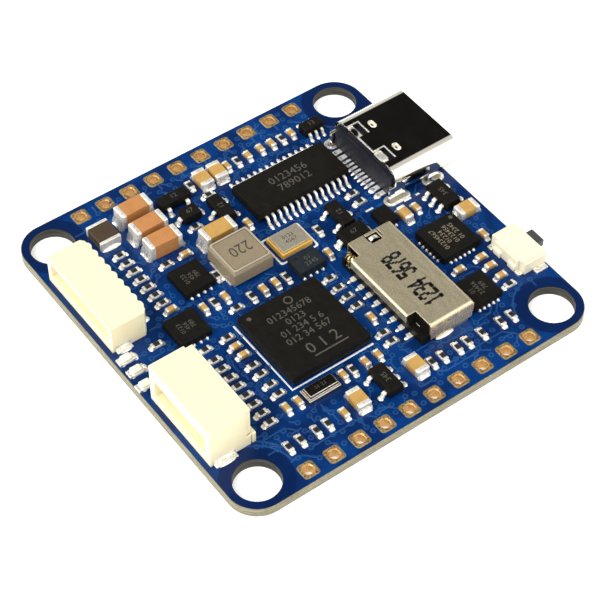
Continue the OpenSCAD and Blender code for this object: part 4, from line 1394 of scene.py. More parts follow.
@dataclass
class UsbReceptacle:
    """Metal shell, black insulator, tongue, contacts and the springs behind the shell's latch holes."""

    repeater: Repeater
    hole_x: float = 14.2
    hole_y: float = 1.75
    spring: Point2 = (2.6, 0.9)
    rear_x: float = 12.1
    window_x: float = 13.3
    # Width of the painted highlight strips on the window and rear edges
    glint_strip: float = 0.13
    window_y: Point2 = (1.1, 2.7)

    def window_edge_glints(self) -> None:
        """Build the painted highlights on the cut edges of the two windows and of the shell's rear: bright strips in
        the solder finish.
        """
        shell = node_span("usb_shell")
        top = shell.high.z
        mesh = bmesh.new()
        near, far = self.window_y
        for low, high in ((-far, -near), (near, far)):
            low, high = low + shell.middle.y, high + shell.middle.y
            add_box(mesh, (self.window_x, low, top - 0.1), (self.window_x + self.glint_strip, high, top + 0.012))
            add_box(mesh, (self.rear_x, high, top - 0.1), (self.window_x + self.glint_strip, high + self.glint_strip, top + 0.01))
        add_box(mesh, (self.rear_x - 0.012, shell.middle.y - near, top - 0.12),
                (self.rear_x + self.glint_strip, shell.middle.y + near, top + 0.011))
        add_box(mesh, (self.rear_x, shell.middle.y - 2.35, top - 0.26),
                (self.rear_x + 0.75, shell.middle.y - 1.2, top - 0.12))
        # Painted highlight: these bright solder-finished boxes stand for the light caught by the shell's cut edges.
        glint_strip = baked(soften(mesh_object("usb_window_trim_raw", mesh), 0.02), "usb_window_trim")
        dress(glint_strip, Finish.SOLDER)

    def latch_cups(self) -> None:
        """Build the domed bumps of the latch springs, each with a dark brown spot on top as painted shade of the
        latch hole's interior.
        """
        shell = node_span("usb_shell")
        level = shell.high.z - 0.28
        places = [Place((self.hole_x, shell.middle.y + side * self.hole_y, level)) for side in (-1, 1)]
        self.repeater.place("usb_latch_bumps", mound("latch_bump_shape", 0.36, 0.5, 0.2, turns=20), places,
                                   Finish.SOLDER, slot="bright_steel")
        # Painted shade: a dark brown mound on each bump's crown stands for the shade inside the latch hole.
        places = [Place((p.at[0], p.at[1], level + 0.17)) for p in places]
        self.repeater.place("usb_latch_spots", mound("latch_spot_shape", 0.13, 0.2, 0.05), places,
                                   Finish.FERRITE_BROWN, slot="bright_steel")

    def latch_springs(self) -> None:
        """Build the curved leaves that show through the latch holes."""
        shell = node_span("usb_shell")
        mesh = bmesh.new()
        length, width = self.spring
        roof = shell.high.z - 0.3
        for side in (-1, 1):
            middle_y = shell.middle.y + side * self.hole_y
            steps = 8
            rows = []
            for i in range(steps + 1):
                x = self.hole_x - 0.75 + length * i / steps
                sag = 0.02 + 0.22 * math.sin(math.pi * i / steps) ** 2
                rows.append([
                    mesh.verts.new((x, middle_y + dy, roof - sag + dz))
                    for dy, dz in ((-width / 2, 0), (width / 2, 0), (width / 2, -0.08), (-width / 2, -0.08))
                ])
            skin(mesh, rows)
        dress(smooth(mesh_object("usb_latch_springs", mesh)), Finish.GOLD)

    def build(self) -> None:
        """Build the receptacle."""
        soft_copies("bright_steel", ("usb_shell", "usb_shell_formed", Finish.STEEL, 0.1))
        soft_copies("black_insulator", ("usb_insulator", "usb_insulator_moulded", Finish.INSULATOR, 0.045))
        soft_copies("steel_plate", ("usb_mid_plate", "usb_mid_plate_cut", Finish.TIN, 0.02))
        soft_copies("gold_contact", ("usb_contacts", "usb_contacts_cut", Finish.TIN, 0.02))
        self.latch_springs()
        self.window_edge_glints()
        self.latch_cups()
        tails = solids("usb_contacts")
        for name, wanted in (("usb_narrow_joints", False), ("usb_wide_joints", True)):
            group = [t for t in tails if (t.size.y > 0.4) == wanted]
            width = group[0].size.y
            joint = mound(name + "_shape", 0.42, width * 0.62, 0.17)
            places = [Place((t.low.x + 0.12, t.middle.y, t.low.z)) for t in group]
            self.repeater.place(name, joint, places, Finish.SOLDER, 0.02, 0.05, 3, slot="tin_lead")


@dataclass
class SideConnector:
    """Ivory side-entry housing with its contacts, solder tabs and solder joints."""

    kind: str
    repeater: Repeater
    edge: float = 0.07

    def build(self) -> None:
        """Build the connector."""
        name = self.kind
        soft_copy(f"{name}_housing", f"{name}_moulding", Finish.IVORY, self.edge, segments=3)
        soft_copy(f"{name}_contacts", f"{name}_pins", Finish.TIN, 0.025)
        soft_copy(f"{name}_tabs", f"{name}_solder_tabs", Finish.SOLDER, 0.03)
        pins = solids(f"{name}_contacts")
        top = pins[0].low.z
        joint = mound(name + "_joint_shape", 0.42, 0.32, 0.2)
        places = [Place((p.high.x - 0.12, p.middle.y, top)) for p in pins]
        self.repeater.place(f"{name}_joints", joint, places, Finish.SOLDER, 0.02, 0.1, 5, slot="tin_lead")
        tabs = solids(f"{name}_tabs")
        feet = [t for t in tabs if t.size.z < 0.3] or tabs
        joint = mound(name + "_tab_joint_shape", feet[0].size.x * 0.5, 0.3, 0.17, turns=20)
        middle = node_span(f"{name}_housing").middle.y
        places = [
            Place((t.middle.x, t.high.y - 0.2 if t.middle.y > middle else t.low.y + 0.2, top)) for t in feet]
        self.repeater.place(f"{name}_tab_joints", joint, places, Finish.SOLDER, 0.01, 0.04, 6, slot="tin_lead")


@dataclass
class CardSocket:
    """Stamped cover with its spring tab and date code, black tray, contacts and detection spring."""

    repeater: Repeater
    digits: str = "1234 5678"
    pitch: float = 0.72
    cell: Point2 = (0.125, 0.27)
    code_at: Point2 = (6.3, -7.3)
    bend: float = 0.28
    # X of the opening beside the spring tab, and how far its ends lie behind the cover's far end
    opening_x: Point2 = (6.02, 7.13)
    opening_back: Point2 = (1.25, 0.3)
    leaf_steps: int = 10
    finger_angles: tuple[int, ...] = (118, 150, 182, 214, 246)

    # Rows of a plain five by seven dot alphabet
    DOTS = {
        "1": "00100 01100 00100 00100 00100 00100 01110",
        "2": "01110 10001 00001 00110 01000 10000 11111",
        "3": "11110 00001 00001 01110 00001 00001 11110",
        "4": "00010 00110 01010 10010 11111 00010 00010",
        "5": "11111 10000 11110 00001 00001 10001 01110",
        "6": "00110 01000 10000 11110 10001 10001 01110",
        "7": "11111 00001 00010 00100 01000 01000 01000",
        "8": "01110 10001 10001 01110 10001 10001 01110",
        " ": "",
    }

    def cover(self) -> None:
        """Build the cover: bent edges, an opening beside its spring tab and a polished end wall."""
        span = node_span("card_cover")
        shape = cad_copy("card_cover", "card_cover_raw")
        mesh = bmesh.new()
        corners = [
            (x, span.high.y - back, span.high.z + side * 0.5)
            for x, back, side in zip(self.opening_x, self.opening_back, (-1, 1))]
        add_box(mesh, *corners)
        shape = carve(shape, mesh_object("tab_opening", mesh))

        def bent(one: Vector, other: Vector) -> bool:
            """Whether an edge is one of the long bends between the top and the walls."""
            level = min(one.z, other.z) > span.high.z - 0.01
            along_y = abs(one.x - other.x) < 0.01 and min(abs(one.x - span.low.x), abs(one.x - span.high.x)) < 0.01
            near_end = abs(one.y - other.y) < 0.01 and abs(one.y - span.low.y) < 0.01
            return level and (along_y or near_end)

        shape = round_edges(shape, bent, self.bend, 5)
        made = baked(soften(shape, 0.035, 2), "card_cover_stamped")
        dress(made, Finish.NICKEL_SHEET, nodes=["card_cover"])
        mesh = bmesh.new()
        add_box(mesh, (span.low.x + 1.12, span.low.y - 0.012, span.low.z + 0.32),
                (span.high.x - 0.08, span.low.y + 0.05, span.high.z - self.bend))
        polished = baked(soften(mesh_object("end_wall_raw", mesh), 0.01), "card_cover_end_wall")
        dress(polished, Finish.WALL_METAL)

    def spring_tab(self) -> None:
        """Build the curved leaf that bows up in the cover's far opening, in the bright solder finish rather than the
        cover's nickel as a painted highlight.
        """
        span = node_span("card_cover")
        mesh = bmesh.new()
        rows = []
        for i in range(self.leaf_steps + 1):
            share = i / self.leaf_steps
            x = self.opening_x[0] + 0.1 + 0.95 * share
            y = span.high.y - 0.72
            z = span.high.z - 0.1 + 0.2 * math.sin(math.pi * share) - 0.12 * share
            half = 0.16 + 0.1 * abs(share - 0.5)
            rows.append([mesh.verts.new((x, y + dy, z + dz))
                         for dy, dz in ((-half, 0), (half, 0), (half, -0.1), (-half, -0.1))])
        skin(mesh, rows)
        # Painted highlight: the leaf belongs to the cover's sheet but takes the whiter solder finish.
        dress(smooth(mesh_object("card_spring_tab", mesh)), Finish.SOLDER)

    def code(self) -> None:
        """Build the dotted code on the cover."""
        top = node_span("card_cover").high.z
        length = len(self.digits) * self.pitch
        places = []
        for i, digit in enumerate(self.digits):
            for row, bits in enumerate(self.DOTS[digit].split()):
                for column, bit in enumerate(bits):
                    if bit == "1":
                        along = i * self.pitch + column * self.cell[0] - length / 2
                        across = (row - 3) * self.cell[1]
                        places.append(Place((self.code_at[0] + across, self.code_at[1] + along, top)))
        mesh = bmesh.new()
        add_prism(mesh, [(0.2 * math.cos(a * math.pi / 5), 0.12 * math.sin(a * math.pi / 5)) for a in range(10)],
                  -0.01, 0.004)
        self.repeater.place("card_code", mesh_object("dot_shape", mesh), places, Finish.INK, 0.012, 0.2, 9,
                            slot="black_tray")

    def detection_fingers(self) -> None:
        """Build the detection spring's base and its spread fingers."""
        span = node_span("card_detect_spring")
        mesh = bmesh.new()
        hub = Vector((span.low.x + 0.75, span.middle.y + 0.1, span.high.z + 0.25))
        for angle in self.finger_angles:
            heading = heading_of(math.radians(angle))
            side = Vector((-heading.y, heading.x, 0)) * 0.055
            line = [hub, hub + heading * 0.3 + Vector((0, 0, 0.12)), hub + heading * 0.6,
                    hub + heading * 0.78 - Vector((0, 0, 0.35))]
            section = ((-1, 0), (1, 0), (1, 0.07), (-1, 0.07))
            rows = [[mesh.verts.new(p + side * s + Vector((0, 0, t))) for s, t in section] for p in line]
            skin(mesh, rows)
        dress(smooth(mesh_object("card_detect_fingers", mesh), 60), Finish.GOLD)
        soft_copy("card_detect_spring", "card_detect_base", Finish.GOLD, 0.02)

    def build(self) -> None:
        """Build the socket."""
        self.cover()
        self.spring_tab()
        self.code()
        self.detection_fingers()
        soft_copy("card_tray", "card_tray_moulded", Finish.EPOXY, 0.03)
        soft_copy("card_contact_tails", "card_tails", Finish.TIN, 0.02)
        soft_copy("card_contact_springs", "card_springs_formed", Finish.GOLD, 0.015, SPRINGS)
        tails = solids("card_contact_tails")
        joint = mound("card_joint_shape", 0.26, 0.17, 0.12)
        places = [Place((t.low.x - 0.14, t.middle.y, t.low.z)) for t in tails]
        self.repeater.place("card_joints", joint, places, Finish.SOLDER, 0.04, 0.2, 21, slot="tin_lead")
        span = node_span("card_cover")
        places = [Place((span.low.x + 2.6, span.low.y - 0.02, span.low.z)),
                  Place((span.low.x + 2.6, span.high.y + 0.02, span.low.z))]
        joint = mound("card_foot_shape", 0.95, 0.24, 0.16, turns=20)
        self.repeater.place("card_foot_joints", joint, places, Finish.SOLDER, slot="tin_lead")


@dataclass
class BootSwitch:
    """Right-angle push switch: housing, lid with pegs, dome, plunger and terminals."""

    repeater: Repeater
    # Share of the dome's height that is kept, so that the pressed plunger stays clear of it
    dome_share: float = 0.64

    def build(self) -> None:
        """Build the switch."""
        soft_copy("boot_switch_housing", "switch_housing_moulded", Finish.IVORY_SWITCH, 0.06)
        soft_copy("boot_switch_lid", "switch_lid_moulded", Finish.IVORY_SWITCH, 0.03)
        dome = soft_copy("boot_switch_dome", "switch_dome", Finish.SPRING_STEEL, 0.01)
        foot = node_span("boot_switch_dome").low.x * MM
        for vertex in dome.data.vertices:
            vertex.co.x = foot + (vertex.co.x - foot) * self.dome_share
        soft_copy("boot_switch_plunger", "switch_plunger", Finish.PLUNGER_GREY, 0.09, PLUNGER, 3)
        soft_copy("boot_switch_terminals", "switch_terminals", Finish.SOLDER, 0.05)


# ---------------------------------------------------------------- chips


@dataclass(frozen=True)
class Marking:
    """Characters on top of a package: what they say and how they lie."""

    lines: tuple[str, ...]
    height: float
    turn: float = 0.0
    shift: Point2 = (0.0, 0.0)
    finish: Finish = Finish.LASER


@dataclass
class Chips:
    """Moulded packages with their pads, leads, balls, index marks and markings."""

    repeater: Repeater

    SINGLE = (
        ("processor_package", Finish.EPOXY, 0.05, "chip_black"),
        ("overlay_chip_body", Finish.EPOXY, 0.05, "chip_black"),
        ("motion_sensor_body", Finish.EPOXY, 0.04, "chip_black"),
        ("spare_motion_sensor_body", Finish.EPOXY, 0.04, "chip_black"),
        ("pressure_sensor_body", Finish.SLATE, 0.04, "chip_slate"),
        ("driver_chip_bodies", Finish.EPOXY, 0.04, "chip_black"),
        ("transistor_bodies", Finish.EPOXY, 0.05, "chip_black"),
        ("regulator_bodies", Finish.EPOXY, 0.05, "chip_black"),
        ("diode_bodies", Finish.EPOXY, 0.05, "chip_black"),
    )
    MARKS = {
        "processor_package": Marking(("012345678", "0123", "01 234 5 6", "012 34 567"), 0.7, 0.0, (0.0, 0.65)),
        "overlay_chip_body": Marking(("0123456", "789012"), 0.82, 0.0, (0.1, 0.0)),
        "motion_sensor_body": Marking(("01234567", "01234", "0123456", "01 2345"), 0.46, 90.0, (0.0, 0.0),
                                      Finish.LASER_BRIGHT),
        "spare_motion_sensor_body": Marking(("01", "23456", "789"), 0.46, 90.0),
        "pressure_sensor_body": Marking(("01", "2345"), 0.46, 0.0, (0.2, -0.1)),
    }
    DRIVER_MARK = Marking(("0123", "456", "789"), 0.42, 90.0)
    SMALL_MARKS = (("transistor_bodies", "12"), ("regulator_bodies", "345"), ("diode_bodies", "67"))

    def mark(self, name: str, span: Span, marking: Marking) -> None:
        """Put a marking on top of a package.

        Args:
            name: The new piece's name.
            span: The package's box.
            marking: The marking.
        """
        at = (span.middle.x + marking.shift[0], span.middle.y + marking.shift[1], span.high.z)
        made = lettering(name, marking.lines, at, marking.height, marking.turn, 0.007)
        dress(made, marking.finish)

    def packages(self) -> None:
        """Build the moulded bodies and their markings."""
        for node, finish, radius, slot in self.SINGLE:
            soft_copy(node, node + "_moulded", finish, radius)
        for node, marking in self.MARKS.items():
            self.mark(node + "_marking", node_span(node), marking)
        for i, span in enumerate(solids("driver_chip_bodies")):
            if span.size.x > 2:
                self.mark(f"driver_chip_marking_{i}", span, self.DRIVER_MARK)
        for node, text in self.SMALL_MARKS:
            for i, span in enumerate(solids(node)):
                turn = 90.0 if span.size.y > span.size.x else 0.0
                self.mark(f"{node}_marking_{i}", span, Marking((text,), 0.5, turn))

    def index_marks(self) -> None:
        """Build the round first-pin marks, and the bar under the processor's marking."""
        span = node_span("processor_package")
        mesh = bmesh.new()
        add_box(mesh, (span.middle.x - 1.1, span.low.y + 0.82, span.high.z - 0.01),
                (span.middle.x + 2.3, span.low.y + 0.96, span.high.z + 0.004))
        dress(mesh_object("processor_bar", mesh), Finish.LASER)
        top = span.high.z
        outer, inner = (circle_outline(radius, (-3.0, span.high.y - 0.95)) for radius in (0.42, 0.3))
        ring = sheet_with_holes("processor_ring", outer, [inner], top - 0.01, top + 0.005)
        dress(ring, Finish.LASER)
        self.mark("processor_bold_marking", span, Marking(("0 1 2",), 1.15, 0.0, (0.35, -2.25)))
        motion = node_span("motion_sensor_body")
        spots = [
            (span.low.x + 0.75, span.high.y - 0.75, span.high.z),
            (motion.high.x - 0.5, motion.high.y - 0.5, motion.high.z),
        ]
        mesh = bmesh.new()
        add_prism(mesh, circle_outline(0.2, steps=20), -0.01, 0.005)
        self.repeater.place("first_pin_marks", mesh_object("mark_shape", mesh),
                                   [Place(s) for s in spots], Finish.LASER, slot="chip_black")

    def balls(self) -> None:
        """Build the processor's solder balls."""
        spans = solids("processor_balls")
        size = spans[0].size
        mesh = bmesh.new()
        bmesh.ops.create_icosphere(mesh, subdivisions=2, radius=0.5)
        bmesh.ops.scale(mesh, vec=(size.x * 1.15, size.y * 1.15, size.z), verts=mesh.verts)
        ball = smooth(mesh_object("ball_shape", mesh), 80)
        places = [Place(tuple(s.middle)) for s in spans]
        self.repeater.place("processor_balls_round", ball, places, Finish.SOLDER,
                            nodes=["processor_balls"], slot="tin_lead")

    def leads(self, node: str, bodies: str) -> None:
        """Build formed leads and their solder joints in place of a lead node.

        Args:
            node: The lead node.
            bodies: The node with the packages that the leads leave.
        """
        packages = solids(bodies)
        groups: dict[tuple[float, float, float], list[Place]] = {}
        for span in solids(node):
            package = self.owner(span, packages)
            turn = self.lead_turn(span, package)
            along_x = abs(math.cos(turn)) > 0.5
            reach, width = (span.size.x, span.size.y) if along_x else (span.size.y, span.size.x)
            heading = heading_of(turn)
            root = span.middle - heading * reach / 2
            key = (round(reach, 2), round(width, 2), round(span.size.z, 2))
            groups.setdefault(key, []).append(Place((root.x, root.y, span.low.z), turn))
        for i, ((reach, width, height), places) in enumerate(sorted(groups.items())):
            thickness = 0.14
            lead = gull_lead("lead_shape", reach, height - thickness, thickness, width)
            self.repeater.place(f"{node}_formed_{i}", lead, places, Finish.TIN, nodes=[node], slot="tin_lead")
            joint = mound("lead_joint_shape", reach * 0.42, width * 0.72, 0.17)
            spots = [
                Place((p.at[0] + reach * 0.82 * math.cos(p.turn), p.at[1] + reach * 0.82 * math.sin(p.turn),
                       p.at[2]), p.turn)
                for p in places
            ]
            self.repeater.place(f"{node}_joints_{i}", joint, spots, Finish.SOLDER, 0.012, 0.06, 31 + i,
                                slot="tin_lead")

    @staticmethod
    def owner(span: Span, packages: Sequence[Span]) -> Span:
        """The package whose box a lead's box touches, or the nearest one."""
        def gap(package: Span) -> float:
            """Distance between the two boxes in XY."""
            x = max(package.low.x - span.high.x, span.low.x - package.high.x, 0)
            y = max(package.low.y - span.high.y, span.low.y - package.high.y, 0)
            return math.hypot(x, y)
        return min(packages, key=gap)

    @staticmethod
    def lead_turn(span: Span, package: Span) -> float:
        """Turn about Z of a lead that leaves a package.

        Args:
            span: The lead's box.
            package: The package's box.

        Returns:
            The turn in radians.
        """
        over_x = max(span.middle.x - package.high.x, package.low.x - span.middle.x)
        over_y = max(span.middle.y - package.high.y, package.low.y - span.middle.y)
        if over_x > over_y:
            return 0.0 if span.middle.x > package.middle.x else math.pi
        return math.pi / 2 if span.middle.y > package.middle.y else -math.pi / 2

    def pads(self, node: str, bodies: str) -> None:
        """Build rounded pads and the solder beads that squeeze out beside a leadless package.

        Args:
            node: The pad node.
            bodies: The node with the packages.
        """
        packages = solids(bodies)
        soft_copy(node, node + "_plated", Finish.TIN, 0.015)
        groups: dict[float, list[Place]] = {}
        for span in solids(node):
            turn = self.lead_turn(span, self.owner(span, packages))
            width = min(span.size.x, span.size.y)
            heading = heading_of(turn)
            at = span.middle + heading * 0.16
            groups.setdefault(round(width, 2), []).append(Place((at.x, at.y, span.low.z), turn))
        for i, (width, places) in enumerate(sorted(groups.items())):
            bead = mound("bead_shape", 0.2, width * 0.6, 0.19)
            self.repeater.place(f"{node}_beads_{i}", bead, places, Finish.SOLDER, 0.01, 0.1, 41 + i,
                                slot="tin_lead")

    def build(self) -> None:
        """Build every chip."""
        self.packages()
        self.index_marks()
        self.balls()
        for kind in ("motion_sensor", "spare_motion_sensor", "pressure_sensor"):
            self.pads(f"{kind}_pads", f"{kind}_body")
        self.pads("driver_chip_pads", "driver_chip_bodies")
        self.leads("overlay_chip_leads", "overlay_chip_body")
        for kind in ("transistor", "regulator", "diode"):
            self.leads(f"{kind}_leads", f"{kind}_bodies")


# ---------------------------------------------------------------- chip parts


@dataclass(frozen=True)
class ChipKind:
    """Family of two-terminal chip parts: its nodes, its finish and how it is soldered."""

    name: str
    bodies: str
    terminals: str
    finish: Finish
    slot: str
    edge: float
    slope: float
    # Beyond this X the parts have the mustard body of the smaller ones
    mustard_from: float = 100.0


@dataclass
class ChipParts:
    """Resistors and ceramic capacitors, each with capped ends and concave solder slopes."""

    repeater: Repeater

    KINDS = (
        ChipKind("resistor", "resistor_bodies", "resistor_terminals", Finish.ALUMINA, "ceramic_white", 0.02, 0.27),
        ChipKind("small_capacitor", "small_capacitor_bodies", "small_capacitor_terminals", Finish.MLCC_MUSTARD,
                 "ceramic_mustard", 0.05, 0.26),
        ChipKind("medium_capacitor", "medium_capacitor_bodies", "medium_capacitor_terminals",
                 Finish.MLCC_MUSTARD, "ceramic_mustard", 0.08, 0.3),
        ChipKind("large_capacitor", "large_capacitor_bodies", "large_capacitor_terminals", Finish.MLCC_ORANGE,
                 "ceramic_orange", 0.12, 0.35, -6.5),
    )

    def group(self, kind: ChipKind) -> dict[tuple[float, ...], list[Place]]:
        """Places of a family's parts by size.

        Args:
            kind: The family.

        Returns:
            Places by body length, width and height, terminal length, and whether the body is mustard.
        """
        ends = solids(kind.terminals)
        groups: dict[tuple[float, ...], list[Place]] = {}
        for body in solids(kind.bodies):
            end = nearest(body.middle, ends)
            turn = turn_from(body.middle, end.middle)
            along_x = abs(math.cos(turn)) > 0.5
            length, width = (body.size.x, body.size.y) if along_x else (body.size.y, body.size.x)
            cap = end.size.x if along_x else end.size.y
            mustard = float(body.middle.x > kind.mustard_from)
            key = tuple(round(v, 3) for v in (length, width, body.size.z, cap, mustard))
            turn = 0.0 if along_x else math.pi / 2
            groups.setdefault(key, []).append(Place(body.foot, turn))
        return groups

    def build_kind(self, kind: ChipKind) -> None:
        """Build one family.

        Args:
            kind: The family.
        """
        for i, ((length, width, height, cap, mustard), places) in enumerate(sorted(self.group(kind).items())):
            finish = Finish.MLCC_MUSTARD if mustard else kind.finish
            disorder = {"shift": 0.02, "twist": 0.03, "seed": 51 + i}
            inset = 0.012
            block = rounded_block("body_shape", (length + 0.04, width - 2 * inset, height - 2 * inset), 0.01,
                                  (0, 0, height / 2))
            self.repeater.place(f"{kind.name}_bodies_{i}", block, places, finish, **disorder,
                                nodes=[kind.bodies], slot=kind.slot)
            mesh = bmesh.new()
            for side in (-1, 1):
                middle = side * (length + cap) / 2
                add_box(mesh, (middle - cap / 2, -width / 2, 0), (middle + cap / 2, width / 2, height))
            caps = soften(mesh_object("cap_shape", mesh), kind.edge, 2 if width > 1 else 1)
            self.repeater.place(f"{kind.name}_caps_{i}", caps, places, Finish.TIN, **disorder,
                                nodes=[kind.terminals], slot="tin_lead")
            slopes = fillet("slope_shape", kind.slope + 0.03, width * 1.08, height * 0.62, length / 2 + cap)
            self.repeater.place(f"{kind.name}_solder_{i}", slopes, places, Finish.SOLDER, **disorder,
                                slot="tin_lead")
            if kind.name == "resistor":
                film = node_span("resistor_films")
                glaze = rounded_block("glaze_shape", (length + 0.02, width * 0.94, 0.05), 0.015,
                                      (0, 0, film.high.z - places[0].at[2] - 0.025))
                self.repeater.place("resistor_glaze", glaze, places, Finish.GLAZE, **disorder,
                                    nodes=["resistor_films"], slot="film_black")

    def build(self) -> None:
        """Build every family."""
        for kind in self.KINDS:
            self.build_kind(kind)


@dataclass
class CoilsAndCrystals:
    """Power inductor, filter inductor, main crystal and clock crystal."""

    repeater: Repeater

    def build(self) -> None:
        """Build the four parts."""
        soft_copy("power_inductor_body", "power_inductor_pressed", Finish.FERRITE_GREY, 0.12,
                  segments=3)
        soft_copy("power_inductor_terminals", "power_inductor_feet", Finish.SOLDER, 0.03)
        coil = node_span("power_inductor_body")
        top = coil.high.z
        rim = band("power_inductor_rim", coil, (0.12, 0.3), 0.2, (top - 0.02, top + 0.018), 0.012)
        dress(rim, Finish.FERRITE_RIM)
        groove = band("power_inductor_groove", coil, (0.3, 0.345), 0.2, (top - 0.02, top + 0.004))
        dress(groove, Finish.DARK_INK)
        mark = lettering("power_inductor_marking", ("220",), (coil.middle.x + 0.05, coil.middle.y + 0.1, coil.high.z),
                         1.2, 180, 0.008, 0.85)
        dress(mark, Finish.DARK_INK)
        soft_copy("filter_inductor_body", "filter_inductor_pressed", Finish.FERRITE_BROWN, 0.06)
        soft_copy("filter_inductor_terminals", "filter_inductor_caps", Finish.TIN, 0.06)
        soft_copy("crystal_base", "crystal_rim", Finish.GOLD_RIM, 0.05)
        soft_copy("crystal_lid", "crystal_cover", Finish.LID_METAL, 0.07)
        base = node_span("crystal_base")
        dress(band("crystal_outline", base, (-0.42, -0.24), 0.25, (base.low.z, base.low.z + 0.02)), Finish.SILK)
        lid = node_span("crystal_lid")
        mark = lettering("crystal_marking", ("0123", "4567"), lid.crown, 0.42, 0)
        dress(mark, Finish.DARK_INK)
        soft_copy("clock_crystal_can", "clock_crystal_case", Finish.CAN_METAL, 0.07)
        clock = node_span("clock_crystal_can")
        mark = lettering("clock_crystal_marking", ("01 23",), clock.crown, 0.36)
        dress(mark, Finish.DARK_INK)
        self.solder("power_inductor_terminals", 0.75, 0.25)
        self.solder("filter_inductor_terminals", 0.95, 0.3)

    def solder(self, node: str, half_length: float, height: float) -> None:
        """Build solder along the outer sides of a part's terminals.

        Args:
            node: The terminal node.
            half_length: Half the length of each joint.
            height: Its height.
        """
        spans = solids(node)
        centre = sum((s.middle for s in spans), Vector()) / len(spans)
        places = []
        for span in spans:
            turn = turn_from(centre, span.middle)
            heading = heading_of(turn)
            reach = span.size.x if abs(heading.x) > 0.5 else span.size.y
            at = span.middle + heading * (reach / 2 - 0.02)
            places.append(Place((at.x, at.y, span.low.z), turn))
        joint = mound("long_joint_shape", 0.28, half_length, height, turns=20)
        self.repeater.place(node + "_solder", joint, places, Finish.SOLDER, 0.01, 0.02, 61, slot="tin_lead")


@dataclass
class StatusLights:
    """Light-emitting diodes beside the connectors."""

    repeater: Repeater
    # The solder's middles stay on this side, clear of the board's edge
    edge_x: float = -17.48

    def build(self) -> None:
        """Build the lights."""
        soft_copy("status_led_bodies", "led_bodies", Finish.LED_BODY, 0.02)
        soft_copy("status_led_terminals", "led_terminals", Finish.SOLDER, 0.03)
        soft_copy("status_led_lenses", "led_lenses", Finish.LED_RESIN, 0.09, segments=3)
        bodies = solids("status_led_bodies")
        ends = solids("status_led_terminals")
        top = bodies[0].low.z
        joint = mound("led_joint_shape", 0.32, 0.46, 0.3)
        places = []
        for end in ends:
            body = nearest(end.middle, bodies)
            turn = turn_from(body.middle, end.middle)
            x = max(end.middle.x + 0.12 * math.cos(turn), self.edge_x)
            places.append(Place((x, end.middle.y, top), turn))
        self.repeater.place("led_joints", joint, places, Finish.SOLDER, 0.01, 0.05, 71, slot="tin_lead")


# ---------------------------------------------------------------- studio


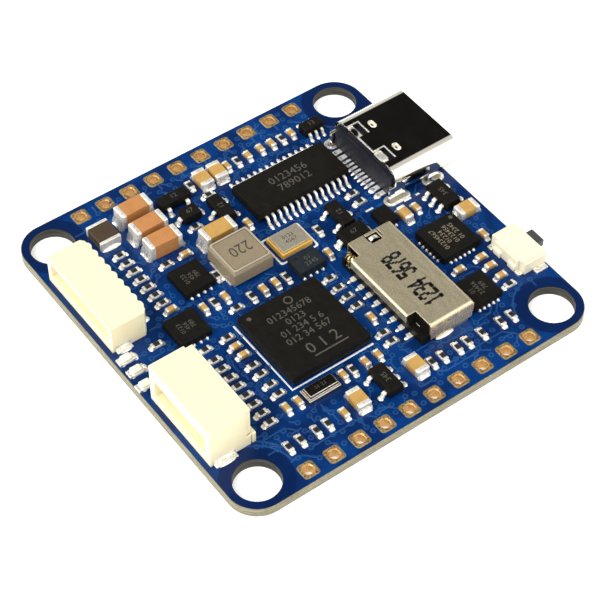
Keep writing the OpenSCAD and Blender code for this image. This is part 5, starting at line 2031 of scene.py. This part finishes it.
@dataclass
class Studio:
    """White floor, overcast sky with a dark flag behind the board, key light and camera."""

    camera_at: Point3 = (-63.65, -86.49, 123.63)
    target: Point3 = (-1.6, -2.3, 1.0)
    roll: float = 0.15
    lens: float = 114.5
    floor_side: float = 4000.0
    floor_glow: float = 0.35
    sky: float = 0.72
    # Patches of the sky: direction, angles in degrees where it is full and where it ends, added strength
    patches: tuple[tuple[Point3, float, float, float], ...] = (
        ((0.385, 0.522, 0.761), 13.0, 22.0, -0.71),
        ((-0.76, 0.52, 0.38), 14.0, 42.0, 2.0),
        ((0.385, -0.761, 0.522), 10.0, 39.0, 1.6),
    )
    key_at: Point3 = (-260.0, -60.0, 330.0)
    key_side: float = 180.0
    key_power: float = 0.9

    def floor(self) -> None:
        """Build the floor that the board stands on."""
        mesh = bmesh.new()
        half = self.floor_side / 2
        add_box(mesh, (-half, -half, -6.0), (half, half, -0.01))
        made = mesh_object("floor", mesh)
        g = Graph("floor_white")
        g.shade(Base_Color=colour(0.92, 0.92, 0.92), Roughness=0.9, Emission_Color=colour(1, 1, 1),
                Emission_Strength=self.floor_glow)
        made.data.materials.append(g.material)

    def world(self) -> None:
        """Light the scene from all round, except from where level faces mirror the camera."""
        world = bpy.data.worlds.new("overcast")
        bpy.context.scene.world = world
        world.use_nodes = True
        sky = Nodes()
        sky.tree = world.node_tree
        background = next(n for n in sky.tree.nodes if n.type == "BACKGROUND")
        place = sky.add("ShaderNodeTexCoord", {}).outputs["Generated"]
        total: object = self.sky
        for towards, near, far, gain in self.patches:
            dot = sky.add("ShaderNodeVectorMath", {0: place, 1: towards}, operation="DOT_PRODUCT")
            patch = sky.add("ShaderNodeMapRange", {
                "Value": dot.outputs["Value"], "From Min": math.cos(math.radians(far)),
                "From Max": math.cos(math.radians(near)), "To Min": 0.0, "To Max": gain,
            }, interpolation_type="SMOOTHSTEP")
            total = sky.add("ShaderNodeMath", {0: total, 1: patch.outputs[0]}, operation="ADD").outputs[0]
        sky.wire(total, background.inputs["Strength"])
        background.inputs["Color"].default_value = colour(1.0, 0.985, 0.95)

    def key(self) -> None:
        """Hang the soft key light."""
        light = bpy.data.lights.new("key", "AREA")
        light.shape = "SQUARE"
        light.size = self.key_side * MM
        light.energy = self.key_power
        light.color = (1.0, 0.98, 0.94)
        lamp = new_object("key_light", light)
        lamp.location = Vector(self.key_at) * MM
        lamp.rotation_euler = (Vector(self.target) - Vector(self.key_at)).to_track_quat("-Z", "Y").to_euler()

    def camera(self) -> None:
        """Set up the camera."""
        data = bpy.data.cameras.new("camera")
        data.lens = self.lens
        data.sensor_width = 36
        data.clip_start = 0.005
        data.clip_end = 20
        camera = new_object("camera", data)
        aim = (Vector(self.target) - Vector(self.camera_at)).to_track_quat("-Z", "Y").to_matrix()
        turned = aim @ Matrix.Rotation(math.radians(self.roll), 3, "Z")
        camera.matrix_world = Matrix.Translation(Vector(self.camera_at) * MM) @ turned.to_4x4()
        bpy.context.scene.camera = camera

    def build(self) -> None:
        """Build the studio and choose the plain view transform."""
        self.floor()
        self.world()
        self.key()
        self.camera()
        view = bpy.context.scene.view_settings
        view.view_transform = "Standard"
        view.look = "None"
        view.exposure = 0.0


def main() -> None:
    """Build the board's assemblies in order, then the studio."""
    logging.basicConfig(level=logging.INFO, format="%(message)s")
    repeater = Repeater()
    BoardSheet(repeater).build()
    UsbReceptacle(repeater).build()
    for kind in ("signal_connector", "power_connector"):
        SideConnector(kind, repeater).build()
    CardSocket(repeater).build()
    BootSwitch(repeater).build()
    Chips(repeater).build()
    ChipParts(repeater).build()
    CoilsAndCrystals(repeater).build()
    StatusLights(repeater).build()
    Studio().build()


if __name__ == "__main__":
    main()
